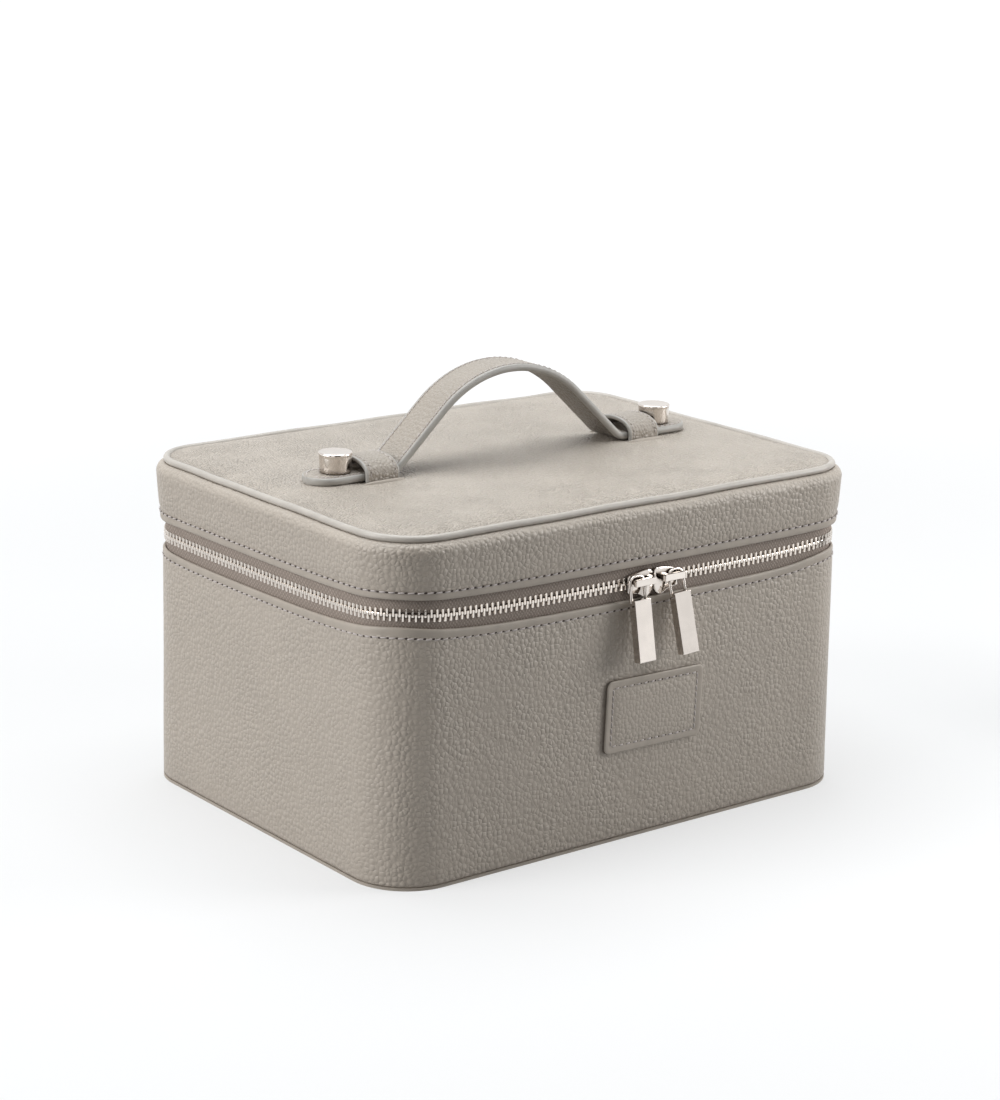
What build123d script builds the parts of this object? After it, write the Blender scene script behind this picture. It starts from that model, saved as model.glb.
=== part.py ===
from build123d import *
import math
import os

# Soft leather make-up case with a zip-around lid and a sliding strap handle.
# Millimetres. +X along the length, the zip pulls face -Y, +Z up.
# The origin is the centre of the underside, on the surface the case stands on.
# An "offset" is a distance outwards from the case's outline at the floor.

# ---- overall size ----
case_length = 250.0
case_depth = 191.0
corner_radius = 26.0
zip_height = 110.0
lid_height = 28.7
wall_lean = 1.07
lid_flare = 1.5

# ---- sheet thicknesses ----
leather = 1.2
board = 2.2
lining = 0.8
padding = 4.4
glue_gap = 0.05
fold_clearance = 0.3

# ---- base ----
patch_length = 52.3
patch_height = 31.4
patch_corner = 3.0
patch_x = 8.3
patch_z = 54.4

# ---- zip ----
zip_gap = 14.0
tape = 0.7
tape_hidden = 7.0
tape_shown = 3.5
tooth_pitch = 2.7
tooth_width = 1.0
tooth_depth = 2.2
tooth_reach = 0.8
tooth_spread = 2.2
spread_flat = 4.6
spread_fade = 5.0
zip_end_run = 14.0
stop_length = 2.4
hinge_clearance = 1.5

# ---- sliders and pulls ----
slider_meet = 6.4
slider_apart = 0.5
slider_length = 13.2
slider_nose_height = 10.6
slider_tail_height = 8.4
slider_plate = 1.4
slider_front_play = 0.2
slider_rear_play = 0.4
slider_lip = 1.5
slider_lip_play = 0.3
neck_start = 1.2
neck_length = 2.4
neck_thick = 1.6
bridge_thick = 1.8
bridge_window = 2.9
bridge_height = 3.0
bridge_start = 2.2
bridge_rise = 1.6
post_radius = 1.1
loop_wire = 1.3
loop_width = 9.0
loop_side_play = 0.4
loop_top_play = 0.5
loop_drop = 7.3
pull_width = 8.7
pull_length = 25.8
pull_thick = 3.8
pull_stand_off = 0.6
loop_stand_off = 0.9
left_pull_lean = 0.8
right_pull_lean = 2.8
left_pull_lift = 9.4
right_pull_lift = 12.4

# ---- lid top ----
piping_radius = 1.5
piping_inset = 3.3
piping_drop = 1.5
shoulder_drop = 6.4
shoulder_radius = 3.3
top_slope = 6.0
top_fall = 0.8

# ---- handle ----
strap_width = 20.0
strap_thick = 3.4
grip_flat = 4.4
grip_rise = 37.6
grip_arc_radius = 54.0
grip_arc_half_angle = 43.0
grip_shift = -1.5
foot_bend = 7.0
tab_end = 101.2
keeper_x = 70.8
keeper_width = 16.4
keeper_thick = 1.6
keeper_rise = 9.3
keeper_side_play = 0.7
keeper_spring = 2.4
keeper_foot = 9.0
stud_x = 86.4
stud_radius = 6.7
stud_top_radius = 7.1
stud_height = 8.6
stud_rim = 1.2
screw_radius = 1.5
screw_head_radius = 4.0
screw_head = 0.8
screw_bite = 4.0
screw_play = 0.05
plate_thick = 1.0
rivet_radius = 1.5
rivet_head_radius = 2.8
rivet_head = 0.8

# ---- worked out from the above ----
half_length = case_length / 2
half_depth = case_depth / 2
base_rim = zip_height - zip_gap / 2
lid_rim = zip_height + zip_gap / 2
lid_top = lid_rim + lid_height - top_fall
lid_crown = lid_top + top_fall
piping_z = lid_top - piping_drop
board_top = lid_crown - leather - padding
tape_middle = -wall_lean - leather - glue_gap - tape / 2
tooth_base = tape_shown - 0.3
hinge_y = half_depth + hinge_clearance
grip_foot = lid_crown + glue_gap
grip_arc_middle = grip_foot + strap_thick + grip_rise - grip_arc_radius


def grip_bends(lift):
    """Where one half of the raised strap ends its arc and meets the lid, for a line in it.
    The lift is the line's height above the strap's underside."""
    half_angle = math.radians(grip_arc_half_angle)
    radius = grip_arc_radius - strap_thick + lift
    side_x = radius * math.sin(half_angle)
    side_z = grip_arc_middle + radius * math.cos(half_angle)
    foot_z = grip_foot + lift
    foot_x = side_x + (side_z - foot_z) / math.tan(half_angle)
    return (side_x, side_z), (foot_x, foot_z)


grip_half = grip_bends(strap_thick)[1][0] + abs(grip_shift) + grip_flat


# ---- shapes that follow the case's outline ----
def outline(offset):
    """The case's rounded outline, grown by an offset."""
    return RectangleRounded(
        case_length + 2 * offset, case_depth + 2 * offset, corner_radius + offset
    )


def plate(offset, low, high):
    """A flat sheet with the case's outline between two heights."""
    return Pos(0, 0, low) * extrude(outline(offset), high - low)


def profile(points):
    """A closed section of (offset, height) points, standing in the XZ plane."""
    return Plane.XZ * make_face(Polyline(*points, close=True))


def side_reach(side):
    """Distance of a side from the middle, and half the length of its straight run."""
    if side % 2 == 0:
        return half_depth, half_length - corner_radius
    return half_length, half_depth - corner_radius


def side_turn(side):
    """Sides run 0 front, 1 right, 2 back, 3 left."""
    return Rot(0, 0, 90 * side - 90)


def straight(section, side, start, end):
    """A section carried along a side, between two distances from its middle."""
    reach, _ = side_reach(side)
    run = extrude(section, end - start, dir=(0, -1, 0))
    return side_turn(side) * (Pos(reach, end, 0) * run)


def corner(section, side):
    """A section turned through the corner that follows a side."""
    reach, half_run = side_reach(side)
    axis = Axis((reach - corner_radius, half_run, 0), (0, 0, 1))
    return side_turn(side) * revolve(Pos(reach, half_run, 0) * section, axis, 90)


def whole_run(section, side):
    """A section along all of a side's straight run."""
    _, half_run = side_reach(side)
    return straight(section, side, -half_run, half_run)


def ring(section):
    """A section carried all round the case."""
    pieces = []
    for side in range(4):
        pieces.append(whole_run(section, side))
        pieces.append(corner(section, side))
    return pieces[0].fuse(*pieces[1:])


def zip_run(section):
    """A section carried along the zip: all round but for the middle of the back."""
    _, half_run = side_reach(2)
    pieces = [whole_run(section, side) for side in (0, 1, 3)]
    pieces += [corner(section, side) for side in range(4)]
    pieces.append(straight(section, 2, -half_run, -half_run + zip_end_run))
    pieces.append(straight(section, 2, half_run - zip_end_run, half_run))
    return pieces[0].fuse(*pieces[1:])


def wall_offset(height):
    """Offset of the base's outer face: it leans in towards the zip."""
    return -wall_lean * (height - leather) / (base_rim - leather)


def lid_offset(height):
    """Offset of the lid's outer face: it leans out away from the zip."""
    low = -wall_lean + 0.9
    return low + lid_flare * (height - lid_rim) / (lid_height - top_fall - shoulder_drop)


# ---- base ----
def bottom_cover():
    """Leather under the case, whose edge shows as a thin line round the foot."""
    return plate(0, 0, leather)


def bottom_board():
    return plate(-leather - glue_gap, leather, leather + board)


def base_skin():
    """Leather round the walls, from the bottom seam up to the zip."""
    outside = [(0, leather), (wall_offset(base_rim), base_rim)]
    inside = [(wall_offset(base_rim) - leather, base_rim), (-leather, leather)]
    return ring(profile(outside + inside))


def base_wall_board():
    """Stiff wall inside the leather, thinned at its top edge for the zip tape."""
    step = base_rim - tape_hidden - fold_clearance
    low = leather + board
    outer = -leather - glue_gap
    slot = tape_middle - tape / 2 - glue_gap
    inner_low = outer + wall_offset(low) - board
    points = [
        (outer + wall_offset(low), low),
        (outer + wall_offset(step), step),
        (slot, step),
        (slot, base_rim - fold_clearance),
        (inner_low - wall_lean, base_rim - fold_clearance),
        (inner_low - wall_lean, low),
    ]
    return ring(profile(points))


def board_inside():
    """Offset of the inner face of the base's wall board."""
    return -leather - glue_gap + wall_offset(leather + board) - board - wall_lean


def base_lining():
    """Cloth tub that lines the walls and floor."""
    floor = leather + board
    outer = board_inside() - glue_gap
    walls = [
        (outer, floor),
        (outer, base_rim),
        (outer - lining, base_rim),
        (outer - lining, floor),
    ]
    return plate(outer - lining / 2, floor, floor + lining).fuse(ring(profile(walls)))


def front_patch():
    """Plain leather patch sewn on the front."""
    lean = math.degrees(math.atan2(wall_lean, base_rim - leather))
    sheet = extrude(RectangleRounded(patch_length, patch_height, patch_corner), leather)
    front = Pos(patch_x, -half_depth - wall_offset(patch_z) - glue_gap, patch_z)
    return front * Rot(90 - lean, 0, 0) * sheet


# ---- zip ----
def tape_profile(edge, hidden_end):
    """Section of a zip tape between two heights."""
    return profile(
        [
            (tape_middle - tape / 2, edge),
            (tape_middle + tape / 2, edge),
            (tape_middle + tape / 2, hidden_end),
            (tape_middle - tape / 2, hidden_end),
        ]
    )


def base_zip_tape():
    return zip_run(tape_profile(zip_height - tooth_base, base_rim - tape_hidden))


def lid_zip_tape():
    return zip_run(tape_profile(zip_height + tooth_base, lid_rim + tape_hidden))


def zip_half_length():
    """Length along the teeth from the middle of the front to one end."""
    front = half_length - corner_radius
    side = case_depth - 2 * corner_radius
    bend = math.pi / 2 * (corner_radius + tape_middle)
    return front + side + 2 * bend + zip_end_run - stop_length


def station(distance):
    """Place on the tooth line, at a distance from the front's middle towards +X."""
    side_way = 1 if distance >= 0 else -1
    left = abs(distance)
    bend_radius = corner_radius + tape_middle
    bend = math.pi / 2 * bend_radius
    run = half_length - corner_radius
    turn = 0.0
    x, y = 0.0, -half_depth - tape_middle
    centre_x = half_length - corner_radius
    centre_y = -half_depth + corner_radius
    if left <= run:
        x = left
    elif left <= run + bend:
        turn = (left - run) / bend_radius
        x = centre_x + bend_radius * math.sin(turn)
        y = centre_y - bend_radius * math.cos(turn)
    elif left <= run + bend + 2 * -centre_y:
        turn = math.pi / 2
        x = centre_x + bend_radius
        y = centre_y + left - run - bend
    elif left <= run + 2 * bend + 2 * -centre_y:
        turn = (left - run + 2 * centre_y) / bend_radius
        x = centre_x + bend_radius * math.sin(turn)
        y = -centre_y - bend_radius * math.cos(turn)
    else:
        turn = math.pi
        x = centre_x - (left - run - 2 * bend + 2 * centre_y)
        y = -centre_y + bend_radius
    return Pos(side_way * x, y, 0) * Rot(0, 0, side_way * math.degrees(turn))


def spread(distance):
    """How far the tooth tips stand back where the sliders' noses meet."""
    away = (abs(distance - slider_meet) - spread_flat) / spread_fade
    away = min(max(away, 0.0), 1.0)
    return tooth_spread * math.cos(math.pi / 2 * away) ** 2


def zip_teeth(shift, way):
    """A row of teeth. The way is -1 for the base's row and 1 for the lid's."""
    teeth = []
    count = int((zip_half_length() - tooth_width) / tooth_pitch)
    for number in range(-count, count):
        distance = (number + shift) * tooth_pitch
        tall = tooth_base + tooth_reach - spread(distance)
        middle = zip_height + way * (tooth_base - tall / 2)
        shape = Pos(0, 0, middle) * Box(tooth_width, tooth_depth, tall)
        teeth.append(station(distance) * shape)
    return Compound(children=teeth)


def zip_stops(way):
    """Metal stops that close the two ends of a tooth row."""
    stops = []
    tall = tooth_base - fold_clearance
    middle = zip_height + way * (tooth_base - tall / 2)
    end = zip_half_length() + stop_length / 2
    for distance in (-end, end):
        shape = Pos(0, 0, middle) * Box(stop_length, tooth_depth, tall)
        stops.append(station(distance) * shape)
    return Compound(children=stops)


def hinge_strip(middle, thick, hidden):
    """Flexible strip across the middle of the back, from base to lid."""
    _, half_run = side_reach(2)
    half = half_run - zip_end_run - fold_clearance
    section = profile(
        [
            (middle - thick / 2, base_rim - hidden),
            (middle + thick / 2, base_rim - hidden),
            (middle + thick / 2, lid_rim + hidden),
            (middle - thick / 2, lid_rim + hidden),
        ]
    )
    return straight(section, 2, -half, half)


def hinge_outer():
    return hinge_strip(tape_middle, tape, tape_hidden)


def hinge_inner():
    """Cloth strip behind the outer one, laid against the linings."""
    return hinge_strip(board_inside() - glue_gap - lining - glue_gap - lining / 2, lining, tape_hidden)


# ---- sliders and pulls, drawn for the right-hand slider with its nose at x = 0 ----
teeth_front = -half_depth - tape_middle - tooth_depth / 2
teeth_rear = teeth_front + tooth_depth
plate_back = teeth_front - slider_front_play
plate_front = plate_back - slider_plate
window_front = plate_front - bridge_window
bridge_front = window_front - bridge_thick
post_x = slider_length - post_radius - 0.2
post_z = zip_height + bridge_rise
loop_rear = plate_front - loop_stand_off
pull_rear = plate_front - pull_stand_off


def slab(x0, x1, y0, y1, z0, z1):
    """A block between two corners."""
    size = Box(abs(x1 - x0), abs(y1 - y0), abs(z1 - z0))
    return Pos((x0 + x1) / 2, (y0 + y1) / 2, (z0 + z1) / 2) * size


def slider_plate_shape(near, far):
    """One face of a slider: wide at the nose, with a point, and narrower at the tail."""
    nose = slider_nose_height / 2
    tail = slider_tail_height / 2
    points = [
        (0.0, nose * 0.45),
        (1.6, nose),
        (slider_length * 0.45, nose),
        (slider_length, tail),
        (slider_length, -tail),
        (slider_length * 0.45, -nose),
        (1.6, -nose),
        (0.0, -nose * 0.45),
    ]
    face = Plane.XZ * make_face(Polyline(*points, close=True))
    return Pos(0, far, zip_height) * extrude(face, far - near, dir=(0, -1, 0))


def slider_body():
    """Two faces joined by the neck, each with a lip below the base's teeth."""
    rear = teeth_rear + slider_rear_play
    front = slider_plate_shape(plate_front, plate_back)
    front = fillet(front.faces().sort_by(Axis.Y)[0].edges(), 0.4)
    back = slider_plate_shape(rear, rear + slider_plate)
    neck = slab(
        neck_start,
        neck_start + neck_length,
        plate_back,
        rear,
        zip_height - neck_thick / 2,
        zip_height + neck_thick / 2,
    )
    lip_top = zip_height - tooth_base - slider_lip_play
    lip_low = zip_height - slider_tail_height / 2
    tape_front = -half_depth - tape_middle - tape / 2
    tape_rear = tape_front + tape
    front_lip = slab(1.6, slider_length, plate_back, tape_front - slider_lip_play, lip_low, lip_top)
    rear_lip = slab(1.6, slider_length, tape_rear + slider_lip_play, rear, lip_low, lip_top)
    return front.fuse(back, neck, front_lip, rear_lip)


def slider_bridge():
    """Bar over the slider's face, on a square foot at the nose and a round post at the tail."""
    low = post_z - bridge_height / 2
    high = post_z + bridge_height / 2
    bar = slab(bridge_start, post_x + post_radius, bridge_front, window_front, low, high)
    bar = fillet(bar.edges().filter_by(Axis.Y), 0.5)
    bar = fillet(bar.faces().sort_by(Axis.Y)[0].edges(), 0.4)
    foot = slab(bridge_start, bridge_start + bridge_thick, window_front, plate_front, low, high)
    post = Pos(post_x, window_front, post_z) * Rot(-90, 0, 0) * Cylinder(
        post_radius, bridge_window, align=(Align.CENTER, Align.CENTER, Align.MIN)
    )
    return bar.fuse(foot, post)


def pull_loop():
    """Wire loop that hangs on the slider's post, closed by the top of the pull."""
    outer_side = post_x + post_radius + loop_side_play + loop_wire
    centre = outer_side - loop_width / 2
    top = post_z + post_radius + loop_top_play + loop_wire
    low = post_z - loop_drop
    round_end = loop_width / 2 - 1.2
    tall = 2 * (top - low)
    outer = Pos(centre, low) * RectangleRounded(loop_width, tall, round_end)
    inner = Pos(centre, low) * RectangleRounded(
        loop_width - 2 * loop_wire, tall - 2 * loop_wire, round_end - loop_wire
    )
    keep = Pos(centre, low + tall / 4) * Rectangle(loop_width, tall / 2)
    face = Plane.XZ * ((outer - inner) & keep)
    wire = Pos(0, loop_rear, 0) * extrude(face, loop_wire, dir=(0, -1, 0))
    return fillet(wire.edges().filter_by(GeomType.LINE).filter_by(Axis.Z), 0.3)


def pull_bar():
    """Flat bar below the loop, bare on its face."""
    outer_side = post_x + post_radius + loop_side_play + loop_wire
    centre = outer_side - loop_width / 2
    high = post_z - loop_drop
    bar = slab(
        centre - pull_width / 2,
        centre + pull_width / 2,
        pull_rear - pull_thick,
        pull_rear,
        high - pull_length,
        high,
    )
    bar = fillet(bar.edges().filter_by(Axis.Y), 0.6)
    return chamfer(bar.faces().sort_by(Axis.Y)[0].edges(), 0.3)


def on_right(shape):
    return Pos(slider_meet + slider_apart / 2, 0, 0) * shape


def on_left(shape):
    return Pos(slider_meet - slider_apart / 2, 0, 0) * mirror(shape, Plane.YZ)


def hung(shape, lean, lift):
    """A pull as it hangs: turned along the wall about its post, with its lower end off the wall."""
    loop_middle = loop_rear - loop_wire / 2
    lifted = shape.rotate(Axis((post_x, loop_middle, post_z), (-1, 0, 0)), lift)
    return lifted.rotate(Axis((post_x, 0, post_z), (0, 1, 0)), lean)


# ---- lid ----
def lid_skin():
    """Leather band of the lid, rolled in over its shoulder to the piping."""
    top = piping_z - 0.8 * piping_radius
    end = -piping_inset + 0.6 * piping_radius
    turned = lid_rim + tape_hidden
    fold = tape_middle + tape / 2 + glue_gap
    points = [
        (lid_offset(lid_rim), lid_rim),
        (lid_offset(top), top),
        (end, top),
        (end, top - leather),
        (lid_offset(top - leather) - leather, top - leather),
        (lid_offset(turned) - leather, turned),
        (fold, turned),
        (fold, lid_rim),
    ]
    section = profile(points)
    outer_corner = section.vertices().sort_by_distance((points[1][0], 0, top))[0]
    section = fillet(outer_corner, shoulder_radius)
    inner_corner = section.vertices().sort_by_distance((points[4][0], 0, top - leather))[0]
    section = fillet(inner_corner, shoulder_radius - leather)
    return ring(section)


def lid_inside():
    """Offset of the inner face of the lid's wall board."""
    return lid_offset(lid_rim) - leather - glue_gap - board - tape


def lid_wall_board():
    """Stiff wall inside the lid's leather, thinned at its lower edge for the zip tape."""
    step = lid_rim + tape_hidden + fold_clearance
    slot = tape_middle - tape / 2 - glue_gap
    outer = lid_offset(lid_rim) - leather - glue_gap
    low = lid_rim + fold_clearance
    shoulder = board_top - board
    points = [
        (slot, low),
        (slot, step),
        (outer, step),
        (outer, shoulder),
        (lid_inside(), shoulder),
        (lid_inside(), low),
    ]
    return ring(profile(points))


def keeper_slits(low, high):
    """Slits through the lid's top for the ends of the keepers."""
    half = strap_width / 2 + keeper_side_play
    slits = []
    for side in (-1, 1):
        for edge in (-1, 1):
            middle = edge * (half + keeper_thick / 2)
            slit = slab(
                side * keeper_x - keeper_width / 2 - glue_gap,
                side * keeper_x + keeper_width / 2 + glue_gap,
                middle - keeper_thick / 2 - glue_gap,
                middle + keeper_thick / 2 + glue_gap,
                low,
                high,
            )
            slits.append(slit)
    return slits


def lid_top_board():
    sheet = plate(lid_offset(lid_rim) - leather - glue_gap, board_top - board, board_top)
    return sheet.cut(*keeper_slits(board_top - board, board_top))


def lid_padding():
    """Thin foam between the top board and the top leather."""
    sheet = plate(-piping_inset - top_slope, board_top, board_top + padding)
    return sheet.cut(*keeper_slits(board_top, board_top + padding))


def lid_top_panel():
    """Top leather: flat over the foam, and falling to the piping round its edge."""
    inner = -piping_inset - top_slope
    outer = -piping_inset - piping_radius - glue_gap
    flat = plate(inner, lid_crown - leather, lid_crown)
    slope = [
        (inner - 0.5, lid_crown),
        (inner, lid_crown),
        (outer, lid_top),
        (outer, lid_top - leather),
        (inner, lid_crown - leather),
        (inner - 0.5, lid_crown - leather),
    ]
    sheet = flat.fuse(ring(profile(slope)))
    return sheet.cut(*keeper_slits(lid_crown - leather, lid_crown))


def lid_piping():
    """Round edge cord between the top leather and the lid's band."""
    centre = Pos(-piping_inset, piping_z)
    return ring(Plane.XZ * (centre * Circle(piping_radius)))


def lid_lining():
    """Cloth that lines the inside of the lid."""
    outer = lid_inside() - glue_gap
    roof = board_top - board
    walls = [
        (outer, lid_rim),
        (outer, roof),
        (outer - lining, roof),
        (outer - lining, lid_rim),
    ]
    sheet = plate(outer - lining / 2, roof - lining, roof).fuse(ring(profile(walls)))
    return sheet.cut(*anchor_pockets())


# ---- handle ----
anchor_half_length = keeper_width / 2 + 3.0
anchor_half_width = strap_width / 2 + keeper_side_play + keeper_thick + keeper_foot


def anchor_pockets():
    """Room in the lid's lining for the keeper feet and their plates."""
    low = board_top - board - 2 * lining - keeper_thick - plate_thick
    pockets = []
    for side in (-1, 1):
        pockets.append(
            slab(
                side * keeper_x - anchor_half_length - glue_gap,
                side * keeper_x + anchor_half_length + glue_gap,
                -anchor_half_width - glue_gap,
                anchor_half_width + glue_gap,
                low,
                board_top - board,
            )
        )
    return pockets


def keeper(side):
    """Leather loop over the strap; its ends pass through the lid and turn outwards."""
    half_in = strap_width / 2 + keeper_side_play
    half_out = half_in + keeper_thick
    under = board_top - board
    spring = lid_crown + keeper_spring
    crest = lid_crown + keeper_rise
    legs = []
    for edge in (-1, 1):
        leg = slab(0, keeper_width, edge * half_in, edge * half_out, under - keeper_thick, spring)
        foot = slab(
            0,
            keeper_width,
            edge * half_in,
            edge * (half_out + keeper_foot),
            under - keeper_thick,
            under,
        )
        legs += [leg, foot]
    outer = Pos(0, spring) * Ellipse(half_out, crest - spring)
    inner = Pos(0, spring) * Ellipse(half_in, crest - spring - keeper_thick)
    upper = Pos(0, spring + half_out) * Rectangle(3 * half_out, 2 * half_out)
    arch = extrude(Plane.YZ * ((outer - inner) & upper), keeper_width)
    loop = arch.fuse(*legs)
    holes = [
        Pos(keeper_width / 2, edge * rivet_y(), under - keeper_thick / 2)
        * Cylinder(rivet_radius, 2 * keeper_thick)
        for edge in (-1, 1)
    ]
    return Pos(side * keeper_x - keeper_width / 2, 0, 0) * loop.cut(*holes)


def rivet_y():
    return strap_width / 2 + keeper_side_play + keeper_thick + keeper_foot / 2


def anchor_plates():
    """Metal plates that spread the keepers' pull, under their feet."""
    top = board_top - board - keeper_thick
    plates = []
    for side in (-1, 1):
        sheet = slab(
            side * keeper_x - anchor_half_length,
            side * keeper_x + anchor_half_length,
            -anchor_half_width,
            anchor_half_width,
            top - plate_thick,
            top,
        )
        holes = [
            Pos(side * keeper_x, edge * rivet_y(), top) * Cylinder(rivet_radius, 4 * plate_thick)
            for edge in (-1, 1)
        ]
        plates.append(sheet.cut(*holes))
    return Compound(children=plates)


def rivets():
    """Rivets through the plates, the keeper feet and the top board's underside."""
    top = board_top - board
    low = top - keeper_thick - plate_thick
    made = []
    for side in (-1, 1):
        for edge in (-1, 1):
            middle = Pos(side * keeper_x, edge * rivet_y(), 0)
            shank = Pos(0, 0, (top + low) / 2) * Cylinder(rivet_radius, top - low)
            head = Pos(0, 0, low - rivet_head / 2) * Cylinder(rivet_head_radius, rivet_head)
            made.append(middle * shank.fuse(head))
    return Compound(children=made)


def strap_tab(side):
    """Round-ended end of the strap, which slides under its keeper."""
    low = lid_crown + glue_gap
    end_radius = strap_width / 2
    bar = Pos((tab_end - end_radius + grip_half) / 2, 0) * Rectangle(
        tab_end - end_radius - grip_half, strap_width
    )
    shape = bar + Pos(tab_end - end_radius, 0) * Circle(end_radius)
    tab = Pos(0, 0, low) * extrude(shape, strap_thick)
    head = Pos(stud_x, 0, low) * Cylinder(
        screw_head_radius + screw_play, 2 * (screw_head + screw_play)
    )
    hole = Pos(stud_x, 0, low) * Cylinder(screw_radius + screw_play, 3 * strap_thick)
    tab = tab.cut(head, hole)
    return tab if side > 0 else mirror(tab, Plane.YZ)


def stud_cap():
    """Drum-shaped metal stud with a plain top, bored from below for its screw."""
    low = lid_crown + glue_gap + strap_thick
    rim = low + stud_height - stud_rim
    points = [
        (0, low),
        (stud_radius, low),
        (stud_top_radius - 0.3, rim),
        (stud_top_radius, rim + 0.3),
        (stud_top_radius, low + stud_height - 0.4),
        (stud_top_radius - 0.4, low + stud_height),
        (0, low + stud_height),
    ]
    drum = revolve(Plane.XZ * make_face(Polyline(*points, close=True)), Axis.Z)
    bore = Pos(0, 0, low) * Cylinder(screw_radius + screw_play, 2 * (screw_bite + screw_play))
    return drum.cut(bore)


def stud_screw():
    """Flat-headed screw let into the underside of the tab."""
    low = lid_crown + glue_gap
    head = Pos(0, 0, low + screw_head / 2) * Cylinder(screw_head_radius, screw_head)
    long = strap_thick + screw_bite
    shank = Pos(0, 0, low + long / 2) * Cylinder(screw_radius, long)
    return head.fuse(shank)


def at_stud(shape, side):
    return Pos(side * stud_x, 0, 0) * shape


def under_grip(lift):
    """Side view of the space below a line in the raised strap: an arc between two slopes."""
    (side_x, side_z), (foot_x, foot_z) = grip_bends(lift)
    arc_top = grip_arc_middle + grip_arc_radius - strap_thick + lift
    left_foot = (grip_shift - foot_x, foot_z)
    right_foot = (grip_shift + foot_x, foot_z)
    left_side = (grip_shift - side_x, side_z)
    right_side = (grip_shift + side_x, side_z)
    edges = [
        Line((-grip_half, lid_top), (-grip_half, foot_z)),
        Line((-grip_half, foot_z), left_foot),
        Line(left_foot, left_side),
        ThreePointArc(left_side, (grip_shift, arc_top), right_side),
        Line(right_side, right_foot),
        Line(right_foot, (grip_half, foot_z)),
        Line((grip_half, foot_z), (grip_half, lid_top)),
        Line((grip_half, lid_top), (-grip_half, lid_top)),
    ]
    face = make_face(Curve(children=edges))
    for foot in (left_foot, right_foot):
        corner_point = face.vertices().sort_by_distance((*foot, 0))[0]
        face = fillet(corner_point, foot_bend + strap_thick - lift)
    return face


def grip(low, high):
    """Raised part of the strap, as one layer of leather."""
    section = Plane.XZ * (under_grip(high) - under_grip(low))
    return Pos(0, strap_width / 2, 0) * extrude(section, strap_width, dir=(0, -1, 0))


# ---- write every piece ----
layer = strap_thick / 2
parts = {
    "bottom_cover": bottom_cover(),
    "bottom_board": bottom_board(),
    "base_skin": base_skin(),
    "base_wall_board": base_wall_board(),
    "base_lining": base_lining(),
    "front_patch": front_patch(),
    "base_zip_tape": base_zip_tape(),
    "base_zip_teeth": zip_teeth(0.5, -1),
    "base_zip_stops": zip_stops(-1),
    "hinge_strip": hinge_outer(),
    "hinge_lining": hinge_inner(),
    "lid_skin": lid_skin(),
    "lid_wall_board": lid_wall_board(),
    "lid_top_board": lid_top_board(),
    "lid_padding": lid_padding(),
    "lid_top_panel": lid_top_panel(),
    "lid_piping": lid_piping(),
    "lid_lining": lid_lining(),
    "lid_zip_tape": lid_zip_tape(),
    "lid_zip_teeth": zip_teeth(1.0, 1),
    "lid_zip_stops": zip_stops(1),
    "left_keeper": keeper(-1),
    "right_keeper": keeper(1),
    "keeper_anchor_plates": anchor_plates(),
    "keeper_rivets": rivets(),
    "left_slider_body": on_left(slider_body()),
    "left_slider_bridge": on_left(slider_bridge()),
    "right_slider_body": on_right(slider_body()),
    "right_slider_bridge": on_right(slider_bridge()),
    "left_pull_loop": on_left(hung(pull_loop(), left_pull_lean, left_pull_lift)),
    "left_pull_bar": on_left(hung(pull_bar(), left_pull_lean, left_pull_lift)),
    "right_pull_loop": on_right(hung(pull_loop(), -right_pull_lean, right_pull_lift)),
    "right_pull_bar": on_right(hung(pull_bar(), -right_pull_lean, right_pull_lift)),
    "left_strap_tab": strap_tab(-1),
    "left_stud_cap": at_stud(stud_cap(), -1),
    "left_stud_screw": at_stud(stud_screw(), -1),
    "right_strap_tab": strap_tab(1),
    "right_stud_cap": at_stud(stud_cap(), 1),
    "right_stud_screw": at_stud(stud_screw(), 1),
    "grip_inner_leather": grip(0, layer),
    "grip_outer_leather": grip(layer, strap_thick),
}

os.makedirs("parts", exist_ok=True)
for name, shape in parts.items():
    export_step(shape, f"parts/{name}.step")
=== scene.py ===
import math

import bmesh
import bpy
from mathutils import Matrix, Vector, noise


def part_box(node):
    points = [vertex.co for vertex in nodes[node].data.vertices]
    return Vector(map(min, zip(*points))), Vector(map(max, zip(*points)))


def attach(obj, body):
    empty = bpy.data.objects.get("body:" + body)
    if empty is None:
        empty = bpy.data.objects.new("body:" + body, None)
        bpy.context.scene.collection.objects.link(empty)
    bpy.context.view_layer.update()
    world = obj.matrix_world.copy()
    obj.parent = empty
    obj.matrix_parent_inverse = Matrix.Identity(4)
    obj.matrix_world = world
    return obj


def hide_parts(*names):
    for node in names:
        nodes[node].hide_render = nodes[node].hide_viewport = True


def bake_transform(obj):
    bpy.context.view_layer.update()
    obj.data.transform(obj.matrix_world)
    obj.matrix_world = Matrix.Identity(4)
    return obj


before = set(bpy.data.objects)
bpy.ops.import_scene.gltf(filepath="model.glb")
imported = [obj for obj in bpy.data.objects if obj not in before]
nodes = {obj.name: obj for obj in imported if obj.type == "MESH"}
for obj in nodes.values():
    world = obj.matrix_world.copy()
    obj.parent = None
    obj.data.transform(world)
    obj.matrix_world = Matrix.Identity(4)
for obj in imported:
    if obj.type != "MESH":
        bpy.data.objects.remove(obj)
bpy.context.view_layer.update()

# Lengths below are in millimetres, in the part's own frame, and become metres in build().
MM = 0.001


def box_mm(node):
    low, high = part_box(node)
    return low / MM, high / MM


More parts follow.
